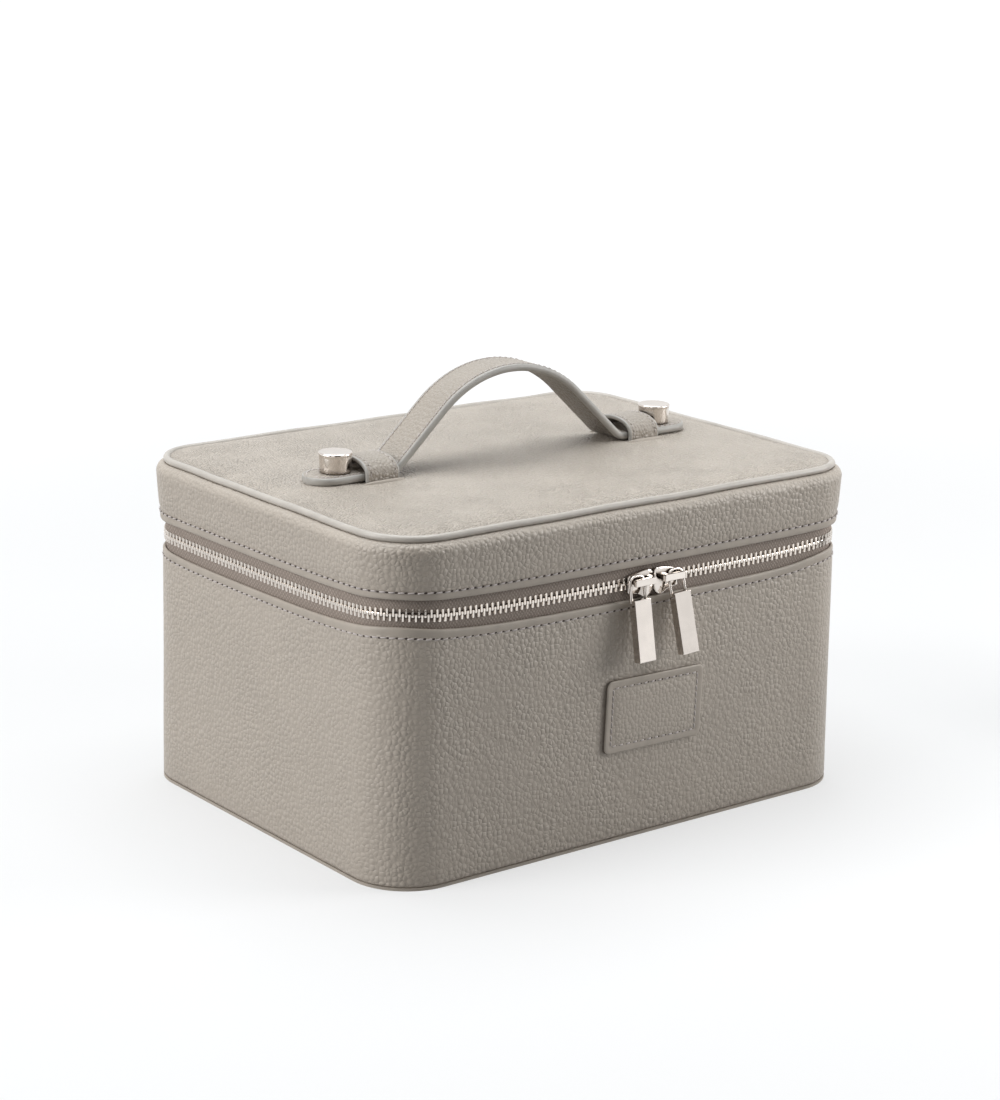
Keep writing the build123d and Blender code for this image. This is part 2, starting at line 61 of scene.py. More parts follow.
# ---- sizes read from the frame ----
skin_high = box_mm("base_skin")[1]
cover_high = box_mm("bottom_cover")[1]
half_length, half_depth = cover_high.x, cover_high.y
corner_radius = 26.0
base_rim = skin_high.z
lid_rim = box_mm("lid_skin")[0].z
piping_low, piping_high = box_mm("lid_piping")
piping_radius = (piping_high.z - piping_low.z) / 2
piping_z = (piping_high.z + piping_low.z) / 2
piping_inset = half_length - piping_high.x + piping_radius
panel_high = box_mm("lid_top_panel")[1]
lid_crown = panel_high.z
panel_edge = panel_high.x - half_length
teeth_low = box_mm("base_zip_teeth")[0]
upper_teeth_low, upper_teeth_high = box_mm("lid_zip_teeth")
zip_height = (teeth_low.z + upper_teeth_high.z) / 2
tape_thick = 0.7
tape_middle = box_mm("base_zip_tape")[1].x - half_length - tape_thick / 2
hinge_high = box_mm("hinge_strip")[1]
stop_low = box_mm("base_zip_stops")[0]

# ---- soft shape of the case ----
wall_lean = 1.07
rim_inset = 1.07
lid_flare = 1.5
corner_arc = corner_radius * math.pi / 2


def smooth(t):
    t = min(max(t, 0.0), 1.0)
    return t * t * (3 - 2 * t)


# ---- the line round the case ----
front_run = half_length - corner_radius
side_run = half_depth - corner_radius
whole_length = 4 * (front_run + side_run) + 4 * corner_arc
corner_middles = {
    "front_right": front_run + corner_arc / 2,
    "back_right": front_run + corner_arc * 1.5 + 2 * side_run,
    "back_left": whole_length - front_run - corner_arc * 1.5 - 2 * side_run,
    "front_left": whole_length - front_run - corner_arc / 2,
}


def place(distance):
    """Point and outward direction on the case's outline, counted from the front's middle to +X."""
    left = distance % whole_length
    runs = (
        (front_run, 0, -half_depth, 1, 0),
        (2 * side_run, half_length, -side_run, 0, 1),
        (2 * front_run, front_run, half_depth, -1, 0),
        (2 * side_run, -half_length, side_run, 0, -1),
        (front_run, -front_run, -half_depth, 1, 0),
    )
    corners = ((front_run, -side_run), (front_run, side_run), (-front_run, side_run), (-front_run, -side_run))
    for index, (length, x, y, dx, dy) in enumerate(runs):
        if left <= length or index == 4:
            return Vector((x + dx * left, y + dy * left)), Vector((dy, -dx))
        left -= length
        if left <= corner_arc:
            turn = left / corner_radius
            out = Matrix.Rotation(turn, 2) @ Vector((dy, -dx))
            return Vector(corners[index]) + corner_radius * out, out
        left -= corner_arc


def stations(step, start=0.0, end=whole_length):
    count = max(2, round((end - start) / step))
    return [start + (end - start) * i / count for i in range(count)]


# How far a rim or the chain rises at each corner, over which half width, and how sharply it falls away.
rises = {
    "base": (
        ("front_left", 5.6, 30, 2),
        ("front_right", 4.2, 27, 4),
        ("back_left", 1.6, 22, 4),
        ("back_right", 3.0, 25, 4),
    ),
    "lid": (("front_left", 2.9, 30, 2), ("front_right", 0.9, 27, 4), ("back_right", 0.5, 25, 4)),
    "teeth": (
        ("front_left", 3.4, 30, 2),
        ("front_right", 1.8, 27, 4),
        ("back_left", 0.3, 22, 4),
        ("back_right", 1.0, 25, 4),
    ),
}


def rise_of(part, distance):
    """The rims stand higher at the corners, most of all at the front left one."""
    total = 0.0
    for corner, height, width, power in rises[part]:
        away = abs(distance % whole_length - corner_middles[corner])
        away = min(away, whole_length - away)
        total += height / (1 + (away / width) ** power)
    return total


def at(distance, offset, height):
    point, out = place(distance)
    return Vector((point.x + out.x * offset, point.y + out.y * offset, height))


def ripple(point, size, amount, seed=0.0):
    """Slow unevenness of soft leather, the same on each run."""
    where = Vector(point) / size + Vector((seed, seed * 0.7, -seed))
    return amount * noise.noise(where)


# ---- meshes ----
def build(name, points, faces, material, body=None, flat=False, marks=None):
    """A mesh object. The material may be a row of materials, and marks then says which one each face has."""
    mesh = bpy.data.meshes.new(name)
    mesh.from_pydata([Vector(p) * MM for p in points], [], faces)
    mesh.validate()
    if not flat:
        mesh.polygons.foreach_set("use_smooth", [True] * len(mesh.polygons))
    for each in material if marks else (material,):
        mesh.materials.append(each)
    if marks:
        mesh.polygons.foreach_set("material_index", marks)
    made = bpy.data.objects.new(name, mesh)
    bpy.context.scene.collection.objects.link(made)
    if body:
        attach(made, body)
    return made


def outward(obj):
    work = bmesh.new()
    work.from_mesh(obj.data)
    bmesh.ops.recalc_face_normals(work, faces=work.faces)
    work.to_mesh(obj.data)
    work.free()


def tube_faces(rings, size, closed_ring=False, closed_section=True, start=0):
    """Quads between successive rings of points that all have the same size."""
    faces = []
    steps = rings if closed_ring else rings - 1
    width = size if closed_section else size - 1
    for i in range(steps):
        a = start + i * size
        b = start + ((i + 1) % rings) * size
        for j in range(width):
            k = (j + 1) % size
            faces.append((a + j, b + j, b + k, a + k))
    return faces


def fan(first, size, tip):
    """Triangles from a ring of points to one point."""
    return [(first + i, first + (i + 1) % size, tip) for i in range(size)]


def sweep(name, where, section, material, body, closed_ring=True, closed_section=True, smooth=None):
    """A section of (offset, height) points carried round the case. The strips named smooth have no pebbles."""
    points = []
    size = 0
    for distance in where:
        ring = section(distance)
        size = len(ring)
        points += [at(distance, offset, height) for offset, height in ring]
    faces = tube_faces(len(where), size, closed_ring, closed_section)
    if closed_section and not closed_ring:
        last = (len(where) - 1) * size
        faces.append(tuple(reversed(range(size))))
        faces.append(tuple(range(last, last + size)))
    marks = None
    if smooth:
        material = (material, fold_mat)
        marks = [1 if j in smooth else 0 for j in range(size - 1)] * len(where)
    made = build(name, points, faces, material, body, marks=marks)
    outward(made)
    return made


# ---- materials ----
class Nodes:
    """Short calls to wire up one material."""

    def __init__(self, owner, shader="Principled BSDF"):
        self.material = owner
        owner.use_nodes = True
        self.tree = owner.node_tree
        self.shader = self.tree.nodes[shader]
        self.place = self.add("ShaderNodeTexCoord").outputs["Object"]

    def add(self, kind, **values):
        node = self.tree.nodes.new(kind)
        for key, value in values.items():
            setattr(node, key, value)
        return node

    def link(self, a, b):
        self.tree.links.new(a, b)

    def put(self, value, socket):
        """Give an input a link, a number or, from a tuple, a colour."""
        if isinstance(value, bpy.types.NodeSocket):
            self.link(value, socket)
        else:
            socket.default_value = (*value, 1) if isinstance(value, tuple) else value

    def feed(self, node, **inputs):
        for key, value in inputs.items():
            self.put(value, node.inputs[key.replace("_", " ")])
        return node

    def noise(self, scale, detail=2.0, roughness=0.5, vector=None):
        node = self.add("ShaderNodeTexNoise")
        self.feed(node, Scale=scale, Detail=detail, Roughness=roughness, Vector=vector or self.place)
        return node.outputs["Fac"]

    def ramp(self, value, low, high, start=0.0, end=1.0):
        node = self.add("ShaderNodeMapRange", interpolation_type="SMOOTHSTEP")
        self.feed(node, Value=value, From_Min=low, From_Max=high, To_Min=start, To_Max=end)
        return node.outputs["Result"]

    def math(self, operation, a, b=0.0):
        node = self.add("ShaderNodeMath", operation=operation)
        self.put(a, node.inputs[0])
        self.put(b, node.inputs[1])
        return node.outputs[0]

    def mix(self, factor, a, b):
        node = self.add("ShaderNodeMix", data_type="RGBA")
        for place, value in ((0, factor), (6, a), (7, b)):
            self.put(value, node.inputs[place])
        return node.outputs[2]

    def seen(self):
        """1 where a ray comes from the camera, a mirror or glass."""
        path = self.add("ShaderNodeLightPath").outputs
        seen = self.math("MAXIMUM", path["Is Camera Ray"], path["Is Glossy Ray"])
        return self.math("MAXIMUM", seen, path["Is Transmission Ray"])

    def bump(self, height, distance, strength=1.0, under=None):
        node = self.add("ShaderNodeBump")
        self.feed(node, Height=height, Distance=distance, Strength=strength)
        if under:
            self.link(under, node.inputs["Normal"])
        return node.outputs["Normal"]


def new_look(name):
    return Nodes(bpy.data.materials.new(name))


def shade(colour, share):
    """A colour made lighter or darker."""
    return tuple(min(1.0, c * share) for c in colour)


def pebbled_leather(name, colour, depth=1.0, cell=2.1):
    """Leather with rounded pebbles between creases, painted shade in the creases, finer grain on the pebbles
    and slow patches of lighter tone.
    """
    n = new_look(name)
    bend = n.add("ShaderNodeTexNoise")
    n.feed(bend, Scale=300.0, Detail=1.0, Vector=n.place)
    shift = n.add("ShaderNodeVectorMath", operation="SCALE")
    n.feed(shift, Scale=0.0006)
    n.link(bend.outputs["Color"], shift.inputs[0])
    moved = n.add("ShaderNodeVectorMath", operation="ADD")
    n.link(n.place, moved.inputs[0])
    n.link(shift.outputs[0], moved.inputs[1])
    cells = n.add("ShaderNodeTexVoronoi", feature="DISTANCE_TO_EDGE")
    n.feed(cells, Scale=1000.0 / cell, Randomness=0.8, Vector=moved.outputs[0])
    domes = n.add("ShaderNodeTexVoronoi", feature="SMOOTH_F1")
    n.feed(domes, Scale=1000.0 / cell, Randomness=0.8, Smoothness=0.35, Vector=moved.outputs[0])
    hill = n.ramp(cells.outputs["Distance"], -0.03, 0.2)
    dome = n.ramp(domes.outputs["Distance"], 0.1, 0.75, 1.0, 0.0)
    grain = n.math("ADD", n.math("MULTIPLY", hill, 0.3), n.math("MULTIPLY", dome, 0.9))
    fine = n.noise(2200.0, 3.0, 0.6)
    wide = n.noise(28.0, 2.0)
    strong = n.ramp(n.noise(45.0, 1.0), 0.25, 0.75, 0.75, 1.2)
    normal = n.bump(n.math("MULTIPLY", grain, strong), 0.00034 * depth, 1.0)
    normal = n.bump(fine, 0.00005, 0.4, normal)
    normal = n.bump(n.noise(90.0, 2.0), 0.0006, 0.3, normal)
    base = n.mix(n.ramp(wide, 0.3, 0.7), colour, shade(colour, 1.05))
    # Painted shade: the colour darkens in the creases between the pebbles.
    base = n.mix(n.ramp(cells.outputs["Distance"], 0.0, 0.09, 0.45, 0.0), base, shade(colour, 0.82))
    rough = n.ramp(hill, 0.0, 1.0, 0.56, 0.38)
    n.feed(n.shader, Base_Color=base, Roughness=rough, Normal=normal, Specular_IOR_Level=0.5)
    return n.material


def smooth_paint(name, colour, roughness=0.42):
    """Edge paint and smooth leather: nearly plain, with faint unevenness."""
    n = new_look(name)
    base = n.mix(n.ramp(n.noise(140.0, 3.0), 0.3, 0.7), colour, shade(colour, 0.9))
    rough = n.ramp(n.noise(420.0, 2.0), 0.3, 0.7, roughness - 0.06, roughness + 0.08)
    n.feed(n.shader, Base_Color=base, Roughness=rough, Normal=n.bump(n.noise(700.0, 3.0), 0.00008, 0.6))
    return n.material


def woven(name, colour, thread=0.55, ribs=0.0):
    """Fine diagonal weave, with slanted dark lines between its ribs where a distance between them is given."""
    n = new_look(name)
    waves = []
    for turn in (0.785, -0.785):
        turned = n.add("ShaderNodeMapping")
        n.link(n.place, turned.inputs["Vector"])
        turned.inputs["Rotation"].default_value = (turn, turn, 0.0)
        wave = n.add("ShaderNodeTexWave", bands_direction="Z")
        n.feed(wave, Scale=1000.0 / thread / 6.28, Distortion=1.2, Detail=1.0, Vector=turned.outputs[0])
        wave.inputs["Detail Scale"].default_value = 3.0
        waves.append(wave.outputs["Fac"])
    cloth = n.math("MULTIPLY", waves[0], waves[1])
    base = n.mix(n.ramp(cloth, 0.0, 0.6), shade(colour, 0.72), colour)
    if ribs:
        parts = n.add("ShaderNodeSeparateXYZ")
        n.link(n.place, parts.inputs[0])
        run = n.math("SUBTRACT", parts.outputs["X"], parts.outputs["Y"])
        slant = n.math("ADD", run, n.math("MULTIPLY", parts.outputs["Z"], 1.3))
        lines = n.math("SINE", n.math("MULTIPLY", slant, 2000.0 * math.pi / ribs))
        base = n.mix(n.ramp(lines, 0.35, 1.0, 0.0, 0.4), base, shade(colour, 0.45))
    rough = n.ramp(n.noise(900.0), 0.3, 0.7, 0.8, 0.95)
    n.feed(n.shader, Base_Color=base, Roughness=rough, Normal=n.bump(cloth, 0.00012, 0.8))
    return n.material


def polished(name, colour, roughness=0.14, reach=0.003):
    """Bright plated metal with faint wiping marks, and painted shade where parts stand close together."""
    n = new_look(name)
    base = n.mix(n.ramp(n.noise(120.0, 2.0), 0.3, 0.7), colour, shade(colour, 0.93))
    close = n.add("ShaderNodeAmbientOcclusion", samples=6)
    n.feed(close, Distance=reach)
    unshaded_share = n.ramp(close.outputs["AO"], 0.25, 0.95)
    # Painted shade: the colour falls to a dark tint of itself within reach of other surfaces.
    base = n.mix(unshaded_share, (colour[0] * 0.16, colour[1] * 0.13, colour[2] * 0.1), base)
    rough = n.ramp(n.noise(800.0, 4.0, 0.7), 0.3, 0.8, roughness - 0.03, roughness + 0.05)
    normal = n.bump(n.noise(160.0, 2.0), 0.00001, 0.4)
    n.feed(n.shader, Base_Color=base, Metallic=1.0, Roughness=rough, Normal=normal)
    return n.material


taupe = (0.430, 0.378, 0.322)
leather_mat = pebbled_leather("pebbled_leather", taupe, 0.8)
patch_mat = pebbled_leather("patch_leather", taupe, 0.6, 1.8)
top_mat = pebbled_leather("top_leather", shade(taupe, 1.04), 1.7, 1.4)
strap_mat = pebbled_leather("strap_leather", shade(taupe, 0.82), 0.8, 1.7)
strap_inner_mat = pebbled_leather("strap_inner_leather", shade(taupe, 0.45), 0.9, 1.9)
edge_mat = smooth_paint("edge_paint", (0.40, 0.383, 0.355))
piping_mat = smooth_paint("piping_leather", (0.50, 0.462, 0.415), 0.36)
# Dark brown for the patch's raw edge, darkened further as painted shadow along its foot.
raw_edge_and_shadow_mat = smooth_paint("raw_edge_and_shadow", (0.13, 0.11, 0.09), 0.8)
backing_mat = smooth_paint("backing_leather", (0.27, 0.235, 0.205), 0.6)
fold_mat = smooth_paint("folded_leather", taupe, 0.5)
tape_mat = woven("zip_tape", (0.38, 0.315, 0.27), ribs=2.0)
lining_mat = woven("lining_cloth", (0.40, 0.36, 0.33), 0.8)
thread_mat = smooth_paint("thread", (0.56, 0.51, 0.49), 0.45)
# Painted shade: near-black and dim brown for the insides of needle holes.
hole_shade_mat = smooth_paint("needle_hole_shade", (0.055, 0.04, 0.035), 0.8)
pale_hole_shade_mat = smooth_paint("shallow_needle_hole_shade", (0.2, 0.17, 0.145), 0.8)
metal_mat = polished("bright_nickel", (0.745, 0.69, 0.64), 0.07, 0.0035)
teeth_mat = polished("zip_teeth_metal", (0.76, 0.70, 0.64), 0.18, 0.0016)
# Near-black metal for the painted shadow that fills a bridge foot's hollow.
shadow_block_mat = polished("painted_shadow_nickel", (0.16, 0.13, 0.105), 0.3)
steel_mat = polished("plain_steel", (0.55, 0.55, 0.55), 0.3)
board_mat = smooth_paint("grey_board", (0.42, 0.39, 0.35), 0.9)
foam_mat = smooth_paint("foam", (0.8, 0.8, 0.78), 0.95)

# ---- base: bottom edge and walls ----
walk = stations(3.0)


def wall_offset(height):
    return -wall_lean * (height - cover_high.z) / (base_rim - cover_high.z)


# The hem of the base's wall, from above the stitches to inside: out from the wall, up from the rim.
base_hem = ((0.02, -5.2), (-0.02, -4.2), (-0.16, -3.4), (-0.02, -2.6), (0.06, -1.6), (0.0, -0.75))
base_hem += ((-0.22, -0.22), (-0.75, 0.0), (-1.25, -0.3), (-1.37, -1.2), (-1.37, -9.0))


def base_section(distance):
    """From under the seam, up the wall, over the folded rim and down inside it."""
    rim = base_rim + rise_of("base", distance)
    ring = [(-3.4, 1.6), (-1.5, 1.4), (-0.55, 1.35), (-0.1, 1.9), (0.0, 3.0)]
    for t in (0.06, 0.13, 0.22, 0.32, 0.42, 0.52, 0.62, 0.72, 0.8, 0.87, 0.92):
        height = 3.0 + (rim - 3.0) * t
        soft = ripple(at(distance, 0, height), 38, 0.35) * math.sin(math.pi * t)
        ring.append((wall_offset(height) + soft, height))
    ring += [(wall_offset(rim) + out, rim + up) for out, up in base_hem]
    ring.append((-5.0, rim - 9.0))
    return ring


# The hem between the stitches and the inside is smooth: these strips of the section.
rim_strips = range(18, 28)
base_skin = sweep(
    "case_wall", walk, base_section, leather_mat, "base", True, False, smooth=rim_strips
)
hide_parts("base_skin")


def foot_section(distance):
    """Turned edge of the bottom leather, seen as a thin line under the wall."""
    return [(-12.0, 0.0), (-1.2, 0.0), (-0.5, 0.12), (-0.25, 0.5), (-0.35, 0.9), (-0.7, 1.15), (-3.0, 1.2)]


sweep("bottom_edge", walk, foot_section, fold_mat, "base", closed_section=False)


# ---- lid: band, piping and top ----
def lid_offset(height):
    return -rim_inset + 0.9 + lid_flare * (height - lid_rim) / 21.5


shoulder_high = piping_z - 0.8 * piping_radius
shoulder_radius = 4.2

# The hem of the lid's band, from inside to above the stitches: out from the band, up from the rim.
lid_hem = ((-1.35, 9.0), (-1.35, 1.2), (-1.2, 0.3), (-0.75, 0.0), (-0.22, 0.2), (0.0, 0.7))
lid_hem += ((0.06, 1.6), (-0.02, 2.8), (-0.14, 3.6), (0.02, 4.4), (0.1, 5.4))


def top_wave(distance):
    """Slow rise and fall of the lid's top edge."""
    return ripple(at(distance, 0, 140), 34, 0.45, 3.0)


def lid_section(distance):
    """From inside the lid, round the hem, up the band and over the shoulder to the piping."""
    rim = lid_rim + rise_of("lid", distance)
    ring = [(-4.2, rim + 9.0)] + [(lid_offset(rim) + out, rim + up) for out, up in lid_hem]
    top = shoulder_high - shoulder_radius
    start = ring[-1][1]
    for t in (0.12, 0.3, 0.5, 0.7, 0.86, 1.0):
        height = start + (top - start) * t
        soft = ripple(at(distance, 0, height), 30, 0.3, 5.0) * math.sin(math.pi * min(t, 0.7))
        ring.append((lid_offset(height) + soft, height))
    wave = top_wave(distance)
    for turn in (15, 30, 45, 60, 75, 90):
        angle = math.radians(turn)
        inward = shoulder_radius * (1 - math.cos(angle))
        ring.append((lid_offset(top) - inward, top + (shoulder_radius + wave) * math.sin(angle)))
    ring.append((0.6 - piping_inset, shoulder_high + wave - 0.25))
    ring.append((-piping_inset, shoulder_high + wave - 0.9))
    return ring


lid_skin = sweep(
    "lid_band", walk, lid_section, leather_mat, "lid", True, False, smooth=range(9)
)
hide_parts("lid_skin")


def piping_section(distance):
    wave = top_wave(distance)
    turns = [2 * math.pi * i / 14 for i in range(14)]
    return [
        (piping_radius * math.cos(turn) - piping_inset, piping_z + wave + piping_radius * math.sin(turn))
        for turn in turns
    ]


piping = sweep("edge_piping", walk, piping_section, piping_mat, "lid")
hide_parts("lid_piping")

keepers = {side: box_mm(side + "_keeper") for side in ("left", "right")}


def edge_distance(x, y):
    """How far a point of the top lies inside the case's outline."""
    dx = abs(x) - front_run
    dy = abs(y) - side_run
    if dx > 0 and dy > 0:
        return corner_radius - math.hypot(dx, dy)
    return corner_radius - max(dx, dy)


def top_height(x, y):
    """Height of the padded top: it swells from the piping, and dips where the keepers go in."""
    inside = max(edge_distance(x, y) + panel_edge, 0.0)
    swell = 1 - (1 - min(inside / 15.0, 1.0)) ** 2.4
    height = lid_crown - 1.75 * (1 - swell)
    height += ripple((x, y, 0), 46, 0.5, 8.0) * smooth(inside / 14.0)
    for low, high in keepers.values():
        gap = math.hypot(
            max(low.x - x, x - high.x, 0.0),
            min(abs(y - 11.5), abs(y + 11.5)) if abs(y) < 21 else abs(y) - 9.5,
        )
        height -= 0.55 * math.exp(-((gap / 4.0) ** 2))
    return height


def top_panel():
    around = stations(4.0)
    rings = [1.0, 0.993, 0.985, 0.975, 0.962, 0.945, 0.925, 0.9, 0.87, 0.835]
    rings += [0.79 - 0.048 * i for i in range(16)]
    edge = [at(d, panel_edge + 1.5, 0) for d in around]
    points = []
    for index, share in enumerate(rings):
        for p in edge:
            x, y = p.x * share, p.y * share
            z = top_height(x, y) - (0.9 if index == 0 else 0)
            points.append((x, y, z))
    points.append((0, 0, top_height(0, 0)))
    count = len(around)
    faces = [(a, d, c, b) for a, b, c, d in tube_faces(len(rings), count)]
    faces += fan((len(rings) - 1) * count, count, len(points) - 1)
    return build("lid_top", points, faces, top_mat, "lid")


top = top_panel()
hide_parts("lid_top_panel")

# ---- plain materials for the pieces inside ----
inner_looks = (
    (fold_mat, "bottom_cover"),
    (board_mat, "bottom_board base_wall_board lid_wall_board lid_top_board"),
    (lining_mat, "base_lining hinge_lining lid_lining"),
    (foam_mat, "lid_padding"),
    (steel_mat, "keeper_anchor_plates keeper_rivets left_stud_screw right_stud_screw"),
    (leather_mat, "hinge_strip"),
    (tape_mat, "base_zip_tape lid_zip_tape"),
    (teeth_mat, "base_zip_teeth lid_zip_teeth"),
    (patch_mat, "front_patch"),
    (strap_mat, "left_keeper right_keeper grip_outer_leather left_strap_tab right_strap_tab"),
    (backing_mat, "grip_inner_leather"),
)
look_of = {name: look for look, names in inner_looks for name in names.split()}
for name, node in nodes.items():
    node.data.materials.clear()
    node.data.materials.append(look_of.get(name, metal_mat))

# ---- zip: tapes, teeth, stops and the strip across the back ----
tape_front = tape_middle + tape_thick / 2
zip_reach = front_run + 2 * corner_arc + 2 * side_run + (front_run - abs(stop_low.x)) + 2.4
zip_walk = [zip_reach * (2 * i / 230 - 1) for i in range(231)]
slider_high = box_mm("left_slider_body")[1]
right_slider_low, right_slider_high = box_mm("right_slider_body")
slider_meet = (slider_high.x + right_slider_low.x) / 2
tooth_pitch = 2.7
tooth_reach = zip_height - upper_teeth_low.z


def chain_height(distance):
    return zip_height + rise_of("teeth", distance)


def tape_section(distance, rim, way):
    """One tape from its cord beside the teeth to under the leather. Way is -1 below the teeth, 1 above."""
    cord = chain_height(distance) + way
    front = [
        (tape_front + 0.06, cord),
        (tape_front + 0.1, cord + way),
        (tape_front - 0.05, (cord + rim) / 2 + 0.6 * way),
        (tape_front - 0.3, rim - 0.3 * way),
        (tape_front - 0.35, rim + 6.5 * way),
    ]
    return front + [(offset - 0.6, height) for offset, height in reversed(front)]


def lower_tape(distance):
    return tape_section(distance, base_rim + rise_of("base", distance), -1)


def upper_tape(distance):
    return tape_section(distance, lid_rim + rise_of("lid", distance), 1)


lower = sweep("lower_zip_tape", zip_walk, lower_tape, tape_mat, "base", closed_ring=False)
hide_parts("base_zip_tape")
upper = sweep("upper_zip_tape", zip_walk, upper_tape, tape_mat, "lid", closed_ring=False)
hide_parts("lid_zip_tape")


def frame_at(distance, offset, height):
    """Place on the case with its directions: along, outwards and up."""
    point, out = place(distance)
    origin = Vector((point.x + out.x * offset, point.y + out.y * offset, height))
    return origin, Vector((-out.y, out.x, 0)), Vector((out.x, out.y, 0)), Vector((0, 0, 1))


# Each level of a tooth: height from its tip, half width and half depth.
tooth_levels = ((0.0, 0.34, 0.7), (0.12, 0.58, 0.98), (0.45, 0.74, 1.1), (1.05, 0.76, 1.1))
tooth_levels += ((1.35, 0.58, 1.06), (2.5, 0.6, 1.02), (3.2, 0.62, 0.98), (3.42, 0.4, 0.78))


def tooth(points, faces, where, along, out, up):
    start = len(points)
    for height, wide, deep in tooth_levels:
        for u, v in ((1, 0.5), (0.6, 1), (-0.6, 1), (-1, 0.5), (-1, -0.5), (-0.6, -1), (0.6, -1), (1, -0.5)):
            points.append(where + along * (u * wide) + out * (v * deep) + up * height)
    faces += tube_faces(len(tooth_levels), 8, start=start)
    faces.append(tuple(range(start, start + 8)))
    last = start + 8 * (len(tooth_levels) - 1)
    faces.append(tuple(range(last, last + 8)))


def spread(distance):
    away = min(max((abs(distance - slider_meet) - 4.6) / 5.0, 0.0), 1.0)
    return 2.2 * math.cos(math.pi / 2 * away) ** 2


def tooth_row(name, shift, way, body, node):
    points, faces = [], []
    count = int((zip_reach - 3.4) / tooth_pitch)
    for number in range(-count, count):
        distance = (number + shift) * tooth_pitch
        tip = chain_height(distance) - way * (tooth_reach - spread(distance))
        where, along, out, up = frame_at(distance, tape_middle, tip)
        tooth(points, faces, where, along, out, up * way)
    made = build(name, points, faces, teeth_mat, body, flat=True)
    outward(made)
    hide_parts(node)
    return made


tooth_row("lower_teeth", 0.5, -1, "base", "base_zip_teeth")
tooth_row("upper_teeth", 1.0, 1, "lid", "lid_zip_teeth")


def back_strip(distance):
    """Hinge strip from inside the base's hem to inside the lid's, a little bulged."""
    low = base_rim + rise_of("base", distance) - 7
    high = lid_rim + rise_of("lid", distance) + 7
    front = []
    for i in range(13):
        t = i / 12
        bulge = 0.5 * math.sin(math.pi * t) + ripple((distance, 0, t * 20), 16, 0.12)
        front.append((tape_front - 0.25 + bulge, low + (high - low) * t))
    return front + [(offset - 0.7, height) for offset, height in reversed(front)]


def across_back(half):
    """Distances along the middle of the back, as far as half each way."""
    return [whole_length / 2 + half * (2 * i / 60 - 1) for i in range(61)]


back_walk = across_back(hinge_high.x)
strip = sweep("back_hinge_strip", back_walk, back_strip, fold_mat, None, closed_ring=False)
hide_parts("hinge_strip")
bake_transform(strip)

cloth_low, cloth_high = box_mm("hinge_lining")


def inner_strip(distance):
    """Lining cloth behind the hinge strip, bent with it."""
    heights = [cloth_low.z + (cloth_high.z - cloth_low.z) * i / 12 for i in range(13)]
    outer = [(cloth_high.y - half_depth, height) for height in heights]
    return outer + [(cloth_low.y - half_depth, height) for height in reversed(heights)]


cloth_walk = across_back(cloth_high.x)
cloth = sweep("back_hinge_lining", cloth_walk, inner_strip, lining_mat, None, closed_ring=False)
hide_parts("hinge_lining")
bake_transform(cloth)


# ---- stitches ----
thread_levels = ((-1.0, 0.35), (-0.86, 0.8), (-0.5, 1.0), (0.5, 1.0), (0.86, 0.8), (1.0, 0.35))


def stitches(name, places, body, pitch=3.8, thick=0.33, blend=None, hole=None):
    """Threads laid in a row of needle holes, each hole a dark disc of painted shade. A place is its middle,
    its direction and the way out.
    """
    points, faces, marks = [], [], []
    length = pitch * 0.68
    for where, along, out in places:
        side = out.cross(along).normalized()
        lay = (along + side * 0.10).normalized()
        start = len(points)
        for share, size in thread_levels:
            centre = where + lay * (share * length / 2) + out * (0.1 - 0.24 * abs(share) ** 3)
            for turn in range(6):
                angle = math.pi / 3 * turn
                points.append(centre + (side * math.cos(angle) + out * math.sin(angle)) * (thick * size))
        new = tube_faces(len(thread_levels), 6, start=start)
        faces += new
        marks += [0] * len(new)
        # Painted shade: a dark disc sunk in the leather stands for the inside of the needle hole.
        centre = where + along * (pitch / 2) - out * (thick * 0.3)
        start = len(points)
        for turn in range(8):
            angle = math.pi / 4 * turn
            away = lay * (pitch * 0.19 * math.cos(angle)) + side * (thick * 1.3 * math.sin(angle))
            points.append(centre + away)
        points.append(centre + out * 0.1)
        faces += fan(start, 8, start + 8)
        marks += [1] * 8
    made = build(name, points, faces, (thread_mat, hole or hole_shade_mat), body, marks=marks)
    if blend:
        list(blend)
        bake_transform(made)
    return made


def row_round(height_at, offset_at, pitch=3.8):
    """Stitch places all round the case, sunk a little into the leather."""
    count = round(whole_length / pitch)
    places = []
    for i in range(count):
        distance = whole_length * i / count
        height = height_at(distance)
        where, along, out, _ = frame_at(distance, offset_at(height) - 0.04, height)
        places.append((where, along, out))
    return places


def base_row_height(distance):
    return base_rim - 3.4 + 0.84 * rise_of("base", distance)


def lid_row_height(distance):
    return lid_rim + 3.65 + 0.8 * rise_of("lid", distance)


stitches("base_stitches", row_round(base_row_height, wall_offset), "base")
stitches("lid_stitches", row_round(lid_row_height, lid_offset), "lid")


# ---- front patch ----
patch_low, patch_high = box_mm("front_patch")
patch_middle = (patch_low + patch_high) / 2
patch_half = Vector(((patch_high.x - patch_low.x) / 2, (patch_high.z - patch_low.z) / 2))
patch_round = 3.0
patch_turn = math.radians(-1.0)


def patch_point(u, w, proud):
    """A point of the patch: it sits a little turned and skewed, on the wall's soft surface."""
    x = u * math.cos(patch_turn) - w * math.sin(patch_turn) + 0.03 * w
    z = u * math.sin(patch_turn) + w * math.cos(patch_turn)
    x += patch_middle.x
    z += patch_middle.z
    soft = ripple((x, -half_depth, z), 38, 0.35)
    return Vector((x, -half_depth - wall_offset(z) - soft - proud, z))


def rounded_outline(half_u, half_w, radius, count=8):
    points = []
    for cu, cw, start in ((1, -1, -90), (1, 1, 0), (-1, 1, 90), (-1, -1, 180)):
        for i in range(count + 1):
            angle = math.radians(start + 90 * i / count)
            u = cu * (half_u - radius) + radius * math.cos(angle)
            points.append((u, cw * (half_w - radius) + radius * math.sin(angle)))
    return points


